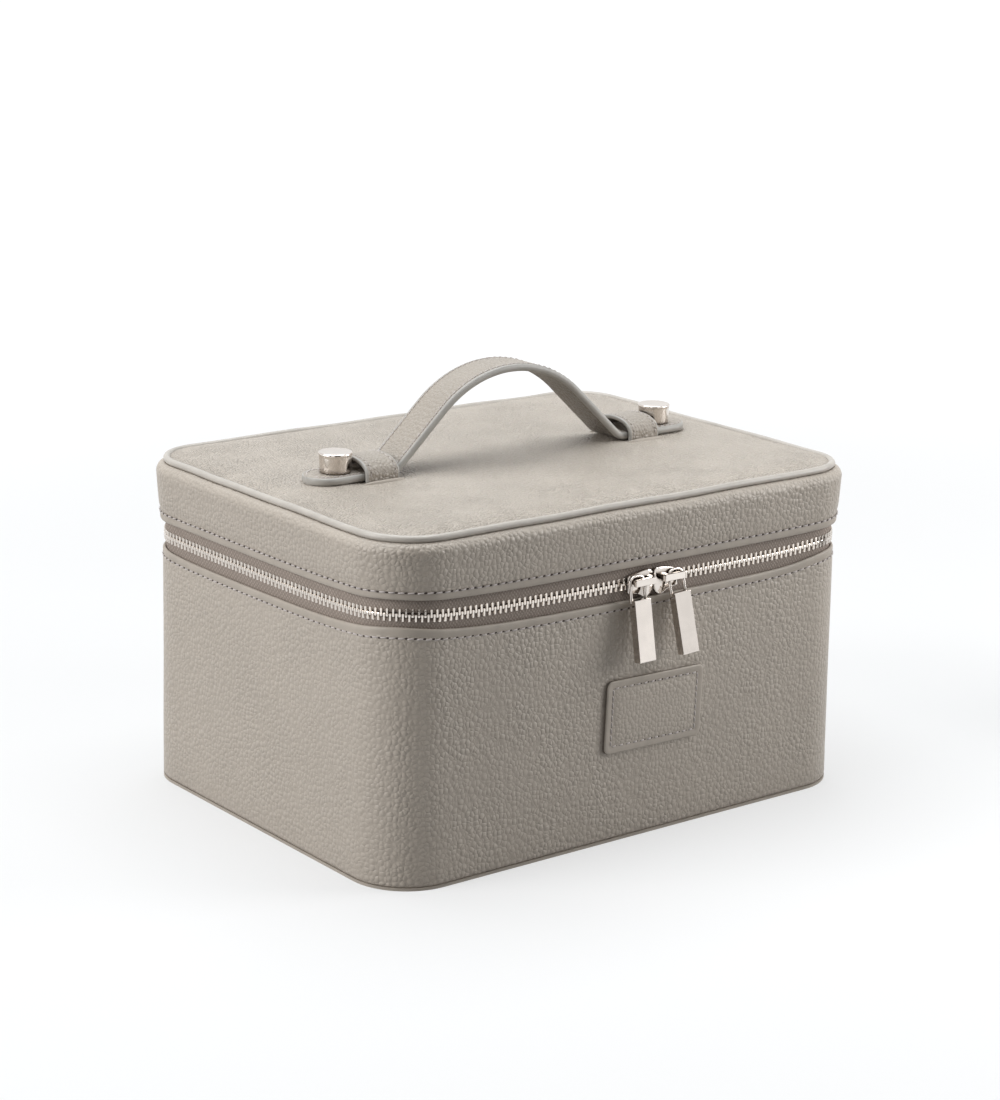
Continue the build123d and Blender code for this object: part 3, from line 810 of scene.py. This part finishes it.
def add_patch():
    levels = ((0.25, -0.3), (0.1, 0.3), (0.0, 0.7), (0.05, 1.2), (0.25, 1.5), (0.8, 1.6), (2.3, 1.5))
    levels += ((3.3, 1.22), (4.3, 1.42), (6.0, 1.56), (9.0, 1.6), (12.0, 1.6))
    points = []
    for inset, proud in levels:
        ring = rounded_outline(patch_half.x - inset, patch_half.y - inset, max(patch_round - inset, 0.4))
        points += [patch_point(u, w, proud) for u, w in ring]
    size = len(ring)
    faces = tube_faces(len(levels), size)
    faces += fan(size * (len(levels) - 1), size, len(points))
    points.append(patch_point(0, 0, 1.6))
    # The lowest three bands of the side are dark: the raw edge, with painted shadow along the patch's foot.
    # The next five are its smooth pressed border.
    marks = [1] * (3 * size) + [2] * (5 * size)
    marks += [0] * (len(faces) - len(marks))
    looks = (patch_mat, raw_edge_and_shadow_mat, fold_mat)
    made = build("plain_patch", points, faces, looks, "base", marks=marks)
    outward(made)
    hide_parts("front_patch")
    inset = 3.3
    half_u, half_w = patch_half.x - inset, patch_half.y - inset
    places = []
    for axis, half, other, pitch in ((0, half_u, half_w, 3.7), (1, half_w, half_u, 2.7)):
        count = round(2 * half / pitch)
        for i in range(count):
            share = half * (2 * (i + 0.5) / count - 1)
            for side in (-1, 1):
                here = (share, side * other) if axis == 0 else (side * other, share)
                ahead = (here[0] + 0.1, here[1]) if axis == 0 else (here[0], here[1] + 0.1)
                where = patch_point(*here, 1.3)
                places.append((where, (patch_point(*ahead, 1.3) - where).normalized(), Vector((0, -1, 0))))
    stitches("patch_stitches", places, "base", 3.0, 0.37)


add_patch()

# ---- handle ----
strap_low, strap_high = box_mm("left_strap_tab")
grip_high = box_mm("grip_outer_leather")[1]
strap_thick = strap_high.z - strap_low.z
strap_half = strap_high.y
tab_end = -strap_low.x
strap_middle = (strap_low.z + strap_high.z) / 2
arc_half_angle = math.radians(43.0)
grip_radius = 54.0
arc_radius = grip_radius - strap_thick / 2
arc_x = -1.5
arc_z = grip_high.z - grip_radius
foot_bend = 7.0 + strap_thick / 2


def strap_line():
    """Middle line of the strap from the left end to the right: (x, z, slope angle)."""
    side_x = arc_radius * math.sin(arc_half_angle)
    side_z = arc_z + arc_radius * math.cos(arc_half_angle)
    foot_x = side_x + (side_z - strap_middle) / math.tan(arc_half_angle)
    flat_end = foot_x + foot_bend * math.tan(arc_half_angle / 2)
    tips = [0.0, 0.25, 0.8, 1.7, 2.9, 4.3, 6.0, 8.0, 10.0]
    line = [(-tab_end + t, strap_middle, 0.0) for t in tips]
    left_flat = tab_end - tips[-1] + arc_x - flat_end
    line += [(-tab_end + tips[-1] + left_flat * i / 9, strap_middle, 0.0) for i in range(1, 10)]
    half = []
    for i in range(1, 9):
        turn = arc_half_angle * i / 8
        rise = foot_bend * (1 - math.cos(turn))
        half.append((foot_bend * math.sin(turn) - flat_end, strap_middle + rise, turn))
    start = Vector(half[-1][:2])
    end = Vector((-side_x, side_z))
    half += [(*start.lerp(end, i / 10), arc_half_angle) for i in range(1, 10)]
    for i in range(15):
        turn = arc_half_angle * (1 - i / 15)
        half.append((-arc_radius * math.sin(turn), arc_z + arc_radius * math.cos(turn), turn))
    line += [(x + arc_x, z, a) for x, z, a in half]
    line.append((arc_x, arc_z + arc_radius, 0.0))
    line += [(-x + arc_x, z, -a) for x, z, a in reversed(half)]
    right_flat = tab_end - tips[-1] - arc_x - flat_end
    line += [(arc_x + flat_end + right_flat * i / 9, strap_middle, 0.0) for i in range(9)]
    line += [(tab_end - t, strap_middle, 0.0) for t in reversed(tips)]
    return line


def strap_section(half_width):
    """Across the strap: (y, height from its middle, finish). Finish 0 is leather, 1 paint, 2 backing."""
    half = strap_thick / 2
    flat = max(half_width - 1.3, half_width * 0.6)
    steps = [i / 3 - 1 for i in range(7)]
    turns = [math.radians(turn) for turn in (65, 40, 15, -15, -40, -65)]
    face = [(flat * t, half - 0.02 - 0.16 * t**4, 0) for t in steps]
    edge = [(flat + (half_width - flat) * math.cos(t), half * 0.97 * math.sin(t), 1) for t in turns]
    back = [(-flat * t, 0.02 - half, 2) for t in steps]
    return face + edge + back + [(-y, z, 1) for y, z, _ in reversed(edge)]


def strap_width_at(x):
    into = tab_end - abs(x)
    if into >= strap_half:
        return strap_half
    return max(math.sqrt(max(strap_half**2 - (strap_half - into) ** 2, 0.0)), 0.9)


def band_marks(finish, count):
    """The finish of each face of a leather band: painted wherever the paint begins."""
    pairs = zip(finish, finish[1:] + finish[:1])
    return [1 if 1 in pair else pair[0] for pair in pairs] * count


def strap_piece(name, line):
    points = []
    for x, z, angle in line:
        ring = strap_section(strap_width_at(x))
        for y, high, _ in ring:
            points.append((x - high * math.sin(angle), y, z + high * math.cos(angle)))
    size = len(ring)
    faces = tube_faces(len(line), size)
    marks = band_marks([mark for _, _, mark in ring], len(line) - 1)
    for index in (0, len(line) - 1):
        if abs(line[index][0]) > tab_end - 1:
            faces.append(tuple(range(index * size, (index + 1) * size)))
            marks.append(1)
    looks = (strap_mat, edge_mat, strap_inner_mat)
    made = build(name, points, faces, looks, None, marks=marks)
    outward(made)
    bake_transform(made)
    return made


def strap_stitch_places(line, inset, pitch):
    """Stitch places along both edges of a stretch of the strap."""
    places = []
    left = 0.0
    reach = strap_half - inset
    for (x0, z0, a0), (x1, z1, a1) in zip(line, line[1:]):
        length = math.hypot(x1 - x0, z1 - z0)
        while left < length:
            share = left / length
            x = x0 + (x1 - x0) * share
            z = z0 + (z1 - z0) * share
            angle = a0 + (a1 - a0) * share
            along = Vector((math.cos(angle), 0, math.sin(angle)))
            out = Vector((-math.sin(angle), 0, math.cos(angle)))
            width = strap_width_at(x) - inset
            slope = 0.0
            into = tab_end - inset - abs(x)
            if into > 0.6:
                if into < reach:
                    width = math.sqrt(reach**2 - (reach - into) ** 2)
                    slope = (reach - into) / max(width, 0.4)
                for side in (-1, 1):
                    turn = Vector((1, math.copysign(slope, -side * x), 0)).normalized() if slope else along
                    places.append((Vector((x, side * width, z)) + out * (strap_thick / 2 - 0.06), turn, out))
            left += pitch * (0.55 if 0 < into < 4 else 1.0)
        left -= length
    return places


whole_line = strap_line()
left_line = [p for p in whole_line if p[0] <= arc_x + 0.001]
right_line = [p for p in whole_line if p[0] >= arc_x - 0.001]
bend_start, bend_end = 65.0, 9.0
left_blend = ("handle_left_end", "handle_grip", (-bend_start * MM, 0, 0), (-bend_end * MM, 0, 0))
right_blend = ("handle_grip", "handle_right_end", (bend_end * MM, 0, 0), (bend_start * MM, 0, 0))
left_strap = strap_piece("strap_left_half", left_line)
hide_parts("left_strap_tab", "grip_inner_leather", "grip_outer_leather")
right_strap = strap_piece("strap_right_half", right_line)
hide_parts("right_strap_tab")
for name, line, blend in (("left", left_line, left_blend), ("right", right_line, right_blend)):
    places = strap_stitch_places(line, 2.1, 3.0)
    stitches("strap_stitches_" + name, places, None, 3.0, 0.22, blend, pale_hole_shade_mat)


keeper_thick = 1.7
# Across a keeper: share of its half width, share of its half thickness, finish as in strap_section.
keeper_edge = [(1.0, -0.45, 1), (1.0, 0.45, 1), (0.985, 0.78, 1), (0.95, 0.95, 1), (0.9, 1.0, 0)]
keeper_edge += [(0.6, 1.03, 0), (0.2, 1.05, 0)]
keeper_section = [(-share, high, mark) for share, high, mark in keeper_edge] + keeper_edge[::-1]
keeper_section += [(0.985, -0.8, 1), (0.93, -1.0, 2), (0.3, -1.0, 2), (-0.3, -1.0, 2), (-0.93, -1.0, 2)]
keeper_section.append((-0.985, -0.8, 1))


def keeper_line(crest):
    """Middle line of a keeper from below the lid's top, over the strap and down again: (y, z)."""
    spring = lid_crown + 2.4
    arch_half = 10.75 + keeper_thick / 2
    arch_high = crest - keeper_thick / 2 - spring
    foot = [(-arch_half, z) for z in (lid_crown - 3.0, lid_crown - 1.0, lid_crown + 0.6, spring - 0.6)]
    line = list(foot)
    for i in range(25):
        angle = math.pi * (1 - i / 24)
        y = arch_half * math.copysign(abs(math.cos(angle)) ** 0.92, math.cos(angle))
        line.append((y, spring + arch_high * math.sin(angle) ** 0.86))
    return line + [(-y, z) for y, z in reversed(foot)]


def keeper_arch(side):
    """Leather loop over the strap, with painted edges; its ends go down into the lid."""
    low, high = keepers[side]
    half = (high.x - low.x) / 2
    middle_x = (high.x + low.x) / 2
    line = keeper_line(high.z - 0.05)
    points, normals = [], []
    for i, (y, z) in enumerate(line):
        before = Vector(line[max(i - 1, 0)])
        after = Vector(line[min(i + 1, len(line) - 1)])
        along = (after - before).normalized()
        out = Vector((-along.y, along.x))
        normals.append((Vector((0, *along)), Vector((0, *out))))
        for share, high_share, _ in keeper_section:
            lift = high_share * keeper_thick / 2
            points.append((middle_x + share * half, y + out.x * lift, z + out.y * lift))
    faces = tube_faces(len(line), len(keeper_section))
    marks = band_marks([mark for _, _, mark in keeper_section], len(line) - 1)
    looks = (strap_mat, edge_mat, backing_mat)
    made = build(side + "_keeper_loop", points, faces, looks, "lid", marks=marks)
    outward(made)
    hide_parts(side + "_keeper")
    places = []
    travelled, due = 0.0, 1.0
    pitch = 2.9
    for i in range(3, len(line) - 4):
        start = Vector((0, *line[i]))
        end = Vector((0, *line[i + 1]))
        length = (end - start).length
        while due < travelled + length:
            along, out = normals[i]
            middle = start.lerp(end, (due - travelled) / length) + out * (keeper_thick / 2 - 0.02)
            for edge in (-1, 1):
                places.append((middle + Vector((middle_x + edge * (half - 2.1), 0, 0)), along, out))
            due += pitch
        travelled += length
    stitches(side + "_keeper_stitches", places, "lid", pitch, 0.22, hole=pale_hole_shade_mat)


def keeper_lips(side):
    """Lips of top leather pinched up where the keeper goes through."""
    low, high = keepers[side]
    points, faces = [], []
    rings, size = 13, 9
    for edge in (-1, 1):
        start = len(points)
        for i in range(rings):
            t = 2 * i / (rings - 1) - 1
            x = (low.x + high.x) / 2 + t * ((high.x - low.x) / 2 + 2.6)
            tall = 1.15 * (1 - abs(t) ** 5) + 0.02
            wide = 1.7 * (1 - abs(t) ** 6) + 0.1
            for j in range(size):
                angle = math.pi * j / (size - 1)
                y = 12.75 + wide / 2 * (1 - math.cos(angle)) + ripple((x, edge * 30, 0), 4, 0.15)
                z = top_height(x, edge * 14) - 0.25 + (tall + 0.25) * math.sin(angle)
                points.append((x, edge * y, z))
        faces += tube_faces(rings, size, closed_section=False, start=start)
    made = build(side + "_keeper_lips", points, faces, fold_mat, "lid")
    outward(made)


for keeper_side in ("left", "right"):
    keeper_arch(keeper_side)
    keeper_lips(keeper_side)


def stud(side, body):
    low, high = box_mm(side + "_stud_cap")
    middle = (low + high) / 2
    tall = high.z - low.z
    wide = (high.x - low.x) / 2
    # How far the profile stands in from the widest place, and its height from the foot or below the top.
    foot = ((0.75, 0.0), (0.5, 0.12), (0.42, 0.4), (0.4, 2.4), (0.32, 4.6), (0.2, 6.6))
    crown = ((0.14, 1.3), (0.1, 1.12), (0.02, 0.98), (0.0, 0.8), (0.0, 0.42), (0.1, 0.16), (0.32, 0.03))
    crown += ((0.6, 0.0), (1.2, 0.06), (3.5, 0.1), (wide - 0.01, 0.12))
    profile = [(0.01, 0.0)] + [(wide - inset, height) for inset, height in foot]
    profile += [(wide - inset, tall - drop) for inset, drop in crown]
    points = []
    turns = 64
    for radius, height in profile:
        for i in range(turns):
            angle = 2 * math.pi * i / turns
            points.append((middle.x + radius * math.cos(angle), radius * math.sin(angle), low.z + height))
    faces = tube_faces(len(profile), turns)
    made = build(side + "_drum_stud", points, faces, metal_mat, body)
    outward(made)
    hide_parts(side + "_stud_cap")


stud("left", "handle_left_end")
stud("right", "handle_right_end")

# ---- sliders and pulls ----
# They are drawn for the right slider, with its nose at x = 0 and the zip's middle at z = 0.
nose_gap = right_slider_low.x - slider_meet
slider_long = right_slider_high.x - right_slider_low.x
plate_front = right_slider_low.y
plate_rear = right_slider_high.y
bridge_low, bridge_high = box_mm("right_slider_bridge")
post_radius = 1.1
post_x = slider_long - post_radius - 0.2
post_rise = (bridge_high.z + bridge_low.z) / 2 - zip_height
bridge_thick = 1.8
bridge_half = (bridge_high.z - bridge_low.z) / 2
wire_radius = 0.74
loop_width = 9.0
loop_top = 2.9
loop_drop = 7.3
loop_stand_off = 0.9
loop_wire = 1.3
loop_middle_y = plate_front - loop_stand_off - loop_wire / 2
bar_wide = 8.7
bar_long = 25.8
bar_thick = 3.8
bar_rear = plate_front - 0.6
bar_middle = post_x + post_radius + 0.4 + loop_wire - loop_width / 2
# How far each pull leans along the wall, and how far it hangs off it.
pull_lean = {"left": math.radians(0.8), "right": math.radians(-2.8)}
pull_lift = {"left": math.radians(9.4), "right": math.radians(12.4)}


def on_slider(side, point, rise=0.0, lean=0.0, lift=0.0):
    """A point drawn for the right slider, swung off the wall and along it, and laid on the slider named."""
    x, y, z = point
    away = y - loop_middle_y
    y = loop_middle_y + away * math.cos(lift) + z * math.sin(lift)
    z = z * math.cos(lift) - away * math.sin(lift)
    across = x - post_x
    x = post_x + across * math.cos(lean) + z * math.sin(lean) + nose_gap
    z = zip_height + rise - across * math.sin(lean) + z * math.cos(lean)
    return Vector((slider_meet + (x if side == "right" else -x), y, z))


def block(points, faces, low, high, bevel=0.3, lay=None):
    """A bevelled block between two corners, laid where lay() puts its points."""
    work = bmesh.new()
    bmesh.ops.create_cube(work, size=1.0)
    low, high = Vector(low), Vector(high)
    for vert in work.verts:
        vert.co = Vector((low[i] + (high[i] - low[i]) * (vert.co[i] + 0.5) for i in range(3)))
    bmesh.ops.bevel(work, geom=work.edges[:], offset=bevel, segments=3, profile=0.6, affect="EDGES")
    start = len(points)
    work.verts.index_update()
    points += [lay(vert.co) for vert in work.verts]
    faces += [tuple(start + vert.index for vert in face.verts) for face in work.faces]
    work.free()


def plate(points, faces, near, far, crown, lay):
    """One face of a slider: its top edge climbs to the nose and a round lobe hangs below it."""
    edge = [(0.0, -1.8), (0.0, 2.4), (0.35, 4.2), (1.3, 5.2), (2.6, 5.5), (5.5, 5.2), (9.5, 4.5), (12.6, 3.8)]
    edge += [(slider_long, 3.2), (slider_long, -3.2), (12.6, -3.8), (9.0, -4.2), (6.8, -4.9), (5.2, -5.9)]
    edge += [(3.9, -6.4), (2.7, -6.2), (1.5, -5.2), (0.6, -3.8)]
    middle = Vector((6.0, -0.2))
    levels = ((1.0, near), (1.0, far + 0.45 * crown), (0.965, far + 0.12 * crown), (0.9, far))
    levels += ((0.55, far - 0.3 * crown),)
    start = len(points)
    for share, y in levels:
        for x, z in edge:
            flat = middle + (Vector((x, z)) - middle) * share
            points.append(lay((flat.x, y, flat.y)))
    size = len(edge)
    faces += tube_faces(len(levels), size, start=start)
    faces.append(tuple(range(start, start + size)))
    last = start + size * (len(levels) - 1)
    points.append(lay((middle.x, far - 0.4 * crown, middle.y)))
    faces += fan(last, size, last + size)


def slider(side):
    def lay(point):
        return on_slider(side, point)

    points, faces = [], []
    plate(points, faces, plate_front + 1.4, plate_front, 1.0, lay)
    plate(points, faces, plate_rear - 1.4, plate_rear, -1.0, lay)
    block(points, faces, (1.2, plate_front + 0.7, -0.8), (3.6, plate_rear - 0.7, 0.8), 0.2, lay)
    name = side + "_slider_shell"
    made = build(name, points, faces, metal_mat, side + "_slider", flat=True)
    outward(made)
    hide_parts(side + "_slider_body")


def bridge(side):
    """Crowned bar on a hollow square foot at the nose, the hollow filled by a dark block of painted shadow,
    and a round post at the tail.
    """

    def lay(point):
        return on_slider(side, point, post_rise)

    front = bridge_low.y
    back = front + bridge_thick
    points, faces = [], []
    block(points, faces, (2.2, front, -bridge_half), (post_x + post_radius, back, bridge_half), 0.42, lay)
    for edge in (-1, 1):
        low, high = sorted((edge * bridge_half, edge * (bridge_half - 0.55)))
        block(points, faces, (2.2, back - 0.3, low), (4.6, plate_front + 0.2, high), 0.15, lay)
    block(points, faces, (4.0, back - 0.3, -bridge_half), (4.6, plate_front + 0.2, bridge_half), 0.15, lay)
    start = len(points)
    for y in (back - 0.2, plate_front - 0.5, plate_front + 0.2):
        reach = post_radius * (1.25 if y > plate_front else 1.0)
        for i in range(20):
            angle = math.pi * i / 10
            points.append(lay((post_x + reach * math.cos(angle), y, reach * math.sin(angle))))
    faces += tube_faces(3, 20, start=start)
    solid = len(faces)
    # Painted shadow: a near-black block fills most of the foot's hollow.
    low = (2.9, back - 0.2, 0.6 - bridge_half)
    block(points, faces, low, (4.1, plate_front + 0.1, bridge_half - 0.6), 0.1, lay)
    marks = [0] * solid + [1] * (len(faces) - solid)
    looks = (metal_mat, shadow_block_mat)
    name = side + "_bridge_bar"
    made = build(name, points, faces, looks, side + "_slider", flat=True, marks=marks)
    outward(made)
    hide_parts(side + "_slider_bridge")


def pull(side):
    """Round wire loop and the bare flat bar that hangs from it."""

    def lay(point):
        return on_slider(side, point, post_rise, pull_lean[side], pull_lift[side])

    half = loop_width / 2 - wire_radius
    bend = 2.9
    bend_z = loop_top - wire_radius - bend
    path = [(-half, -loop_drop - 1.2, 0.0), (-half, -3.0, 0.0), (-half, bend_z, 0.0)]
    for i in range(1, 10):
        angle = math.pi / 2 * i / 9
        path.append((-half + bend * (1 - math.cos(angle)), bend_z + bend * math.sin(angle), angle))
    path += [(-x, z, math.pi - angle) for x, z, angle in reversed(path)]
    points = []
    for x, z, angle in path:
        for i in range(12):
            turn = math.pi * i / 6
            away = wire_radius * math.cos(turn)
            across = bar_middle + x - away * math.cos(angle)
            deep = loop_middle_y + wire_radius * math.sin(turn)
            points.append(lay((across, deep, z + away * math.sin(angle))))
    faces = tube_faces(len(path), 12)
    made = build(side + "_wire_loop", points, faces, metal_mat, side + "_pull")
    outward(made)
    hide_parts(side + "_pull_loop")
    points, faces = [], []
    low = (bar_middle - bar_wide / 2, bar_rear - bar_thick, -loop_drop - bar_long)
    high = (bar_middle + bar_wide / 2, bar_rear, -loop_drop)
    block(points, faces, low, high, 0.34, lay)
    made = build(side + "_flat_bar", points, faces, metal_mat, side + "_pull", flat=True)
    outward(made)
    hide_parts(side + "_pull_bar")


for slider_side in ("left", "right"):
    slider(slider_side)
    bridge(slider_side)
    pull(slider_side)

# ---- floor, light and camera ----
view_back = Vector((-0.5922, -0.7624, 0.2610))
view_right = Vector((0.7925, -0.6097, 0.0171))
view_up = Vector((0.1461, 0.2170, 0.9652))
eye = Vector((-714.29, -920.12, 417.51))
focal_pixels = 2768.12
photo_height = 1100.0
sensor = 36.0


def add_camera():
    data = bpy.data.cameras.new("camera")
    data.sensor_fit = "VERTICAL"
    data.sensor_height = sensor
    data.lens = focal_pixels / photo_height * sensor
    data.clip_end = 50.0
    made = bpy.data.objects.new("camera", data)
    turn = Matrix((view_right, view_up, view_back)).transposed()
    made.matrix_world = Matrix.Translation(eye * MM) @ turn.to_4x4()
    bpy.context.scene.collection.objects.link(made)
    bpy.context.scene.camera = made


floor_glow = 0.52
ambient = 0.13


def add_floor():
    n = new_look("pale_floor")
    rough = n.ramp(n.noise(3.0), 0.3, 0.7, 0.9, 0.96)
    n.feed(n.shader, Base_Color=(0.36, 0.36, 0.36), Roughness=rough, Specular_IOR_Level=0.1)
    far = n.add("ShaderNodeVectorMath", operation="LENGTH")
    n.link(n.place, far.inputs[0])
    level = n.ramp(far.outputs["Value"], 0.35, 1.6, floor_glow, 1.0)
    glow = n.feed(n.add("ShaderNodeEmission"), Strength=n.math("MULTIPLY", n.seen(), level))
    both = n.add("ShaderNodeAddShader")
    n.link(n.shader.outputs[0], both.inputs[0])
    n.link(glow.outputs[0], both.inputs[1])
    n.link(both.outputs[0], n.tree.nodes["Material Output"].inputs["Surface"])
    size = 15000.0
    points = [(-size, -size, 0), (size, -size, 0), (size, size, 0), (-size, size, 0)]
    build("floor", points, [(0, 1, 2, 3)], n.material, flat=True)


def add_light(name, place_mm, aim_mm, size_mm, power, colour=(1, 1, 1)):
    data = bpy.data.lights.new(name, "AREA")
    data.shape = "RECTANGLE"
    data.size, data.size_y = size_mm[0] * MM, size_mm[1] * MM
    data.energy = power
    data.color = colour
    made = bpy.data.objects.new(name, data)
    made.location = Vector(place_mm) * MM
    made.rotation_euler = (Vector(aim_mm) - Vector(place_mm)).to_track_quat("-Z", "Y").to_euler()
    bpy.context.scene.collection.objects.link(made)


def add_world():
    world = bpy.data.worlds.new("studio")
    bpy.context.scene.world = world
    n = Nodes(world, "Background")
    n.feed(n.shader, Color=(1, 1, 1), Strength=n.ramp(n.seen(), 0.0, 1.0, ambient, 1.0))


def add_flag(name, middle_mm, size_mm, colour):
    """Dark card that stands beside the set, outside the picture, as photographers use."""
    n = new_look(name)
    base = n.mix(n.ramp(n.noise(6.0), 0.3, 0.7), colour, shade(colour, 0.9))
    n.feed(n.shader, Base_Color=base, Roughness=0.9)
    middle = Vector(middle_mm)
    aim = Vector((-middle.x, -middle.y, 0)).normalized()
    side = Vector((-aim.y, aim.x, 0)) * (size_mm[0] / 2)
    up = Vector((0, 0, size_mm[1] / 2))
    points = [middle - side - up, middle + side - up, middle + side + up, middle - side + up]
    made = build(name, points, [(0, 1, 2, 3)], n.material, flat=True)
    made.visible_camera = False


add_camera()
add_floor()
add_flag("front_flag", (-270, -560, 300), (440, 600), (0.06, 0.05, 0.042))
add_flag("right_flag", (340, -190, 60), (120, 120), (0.06, 0.05, 0.042))
add_flag("left_flag", (-900, -330, 420), (160, 800), (0.08, 0.065, 0.055))
add_world()
add_light("overhead", (50, 250, 1500), (0, 0, 100), (1400, 1400), 24.5, (0.93, 0.97, 1.0))
add_light("left_side", (-1500, 300, 700), (-100, 0, 80), (1000, 1000), 18.5)
add_light("right_front", (560, -440, 330), (80, -90, 80), (340, 420), 3.0)
bpy.context.scene.view_settings.view_transform = "Standard"
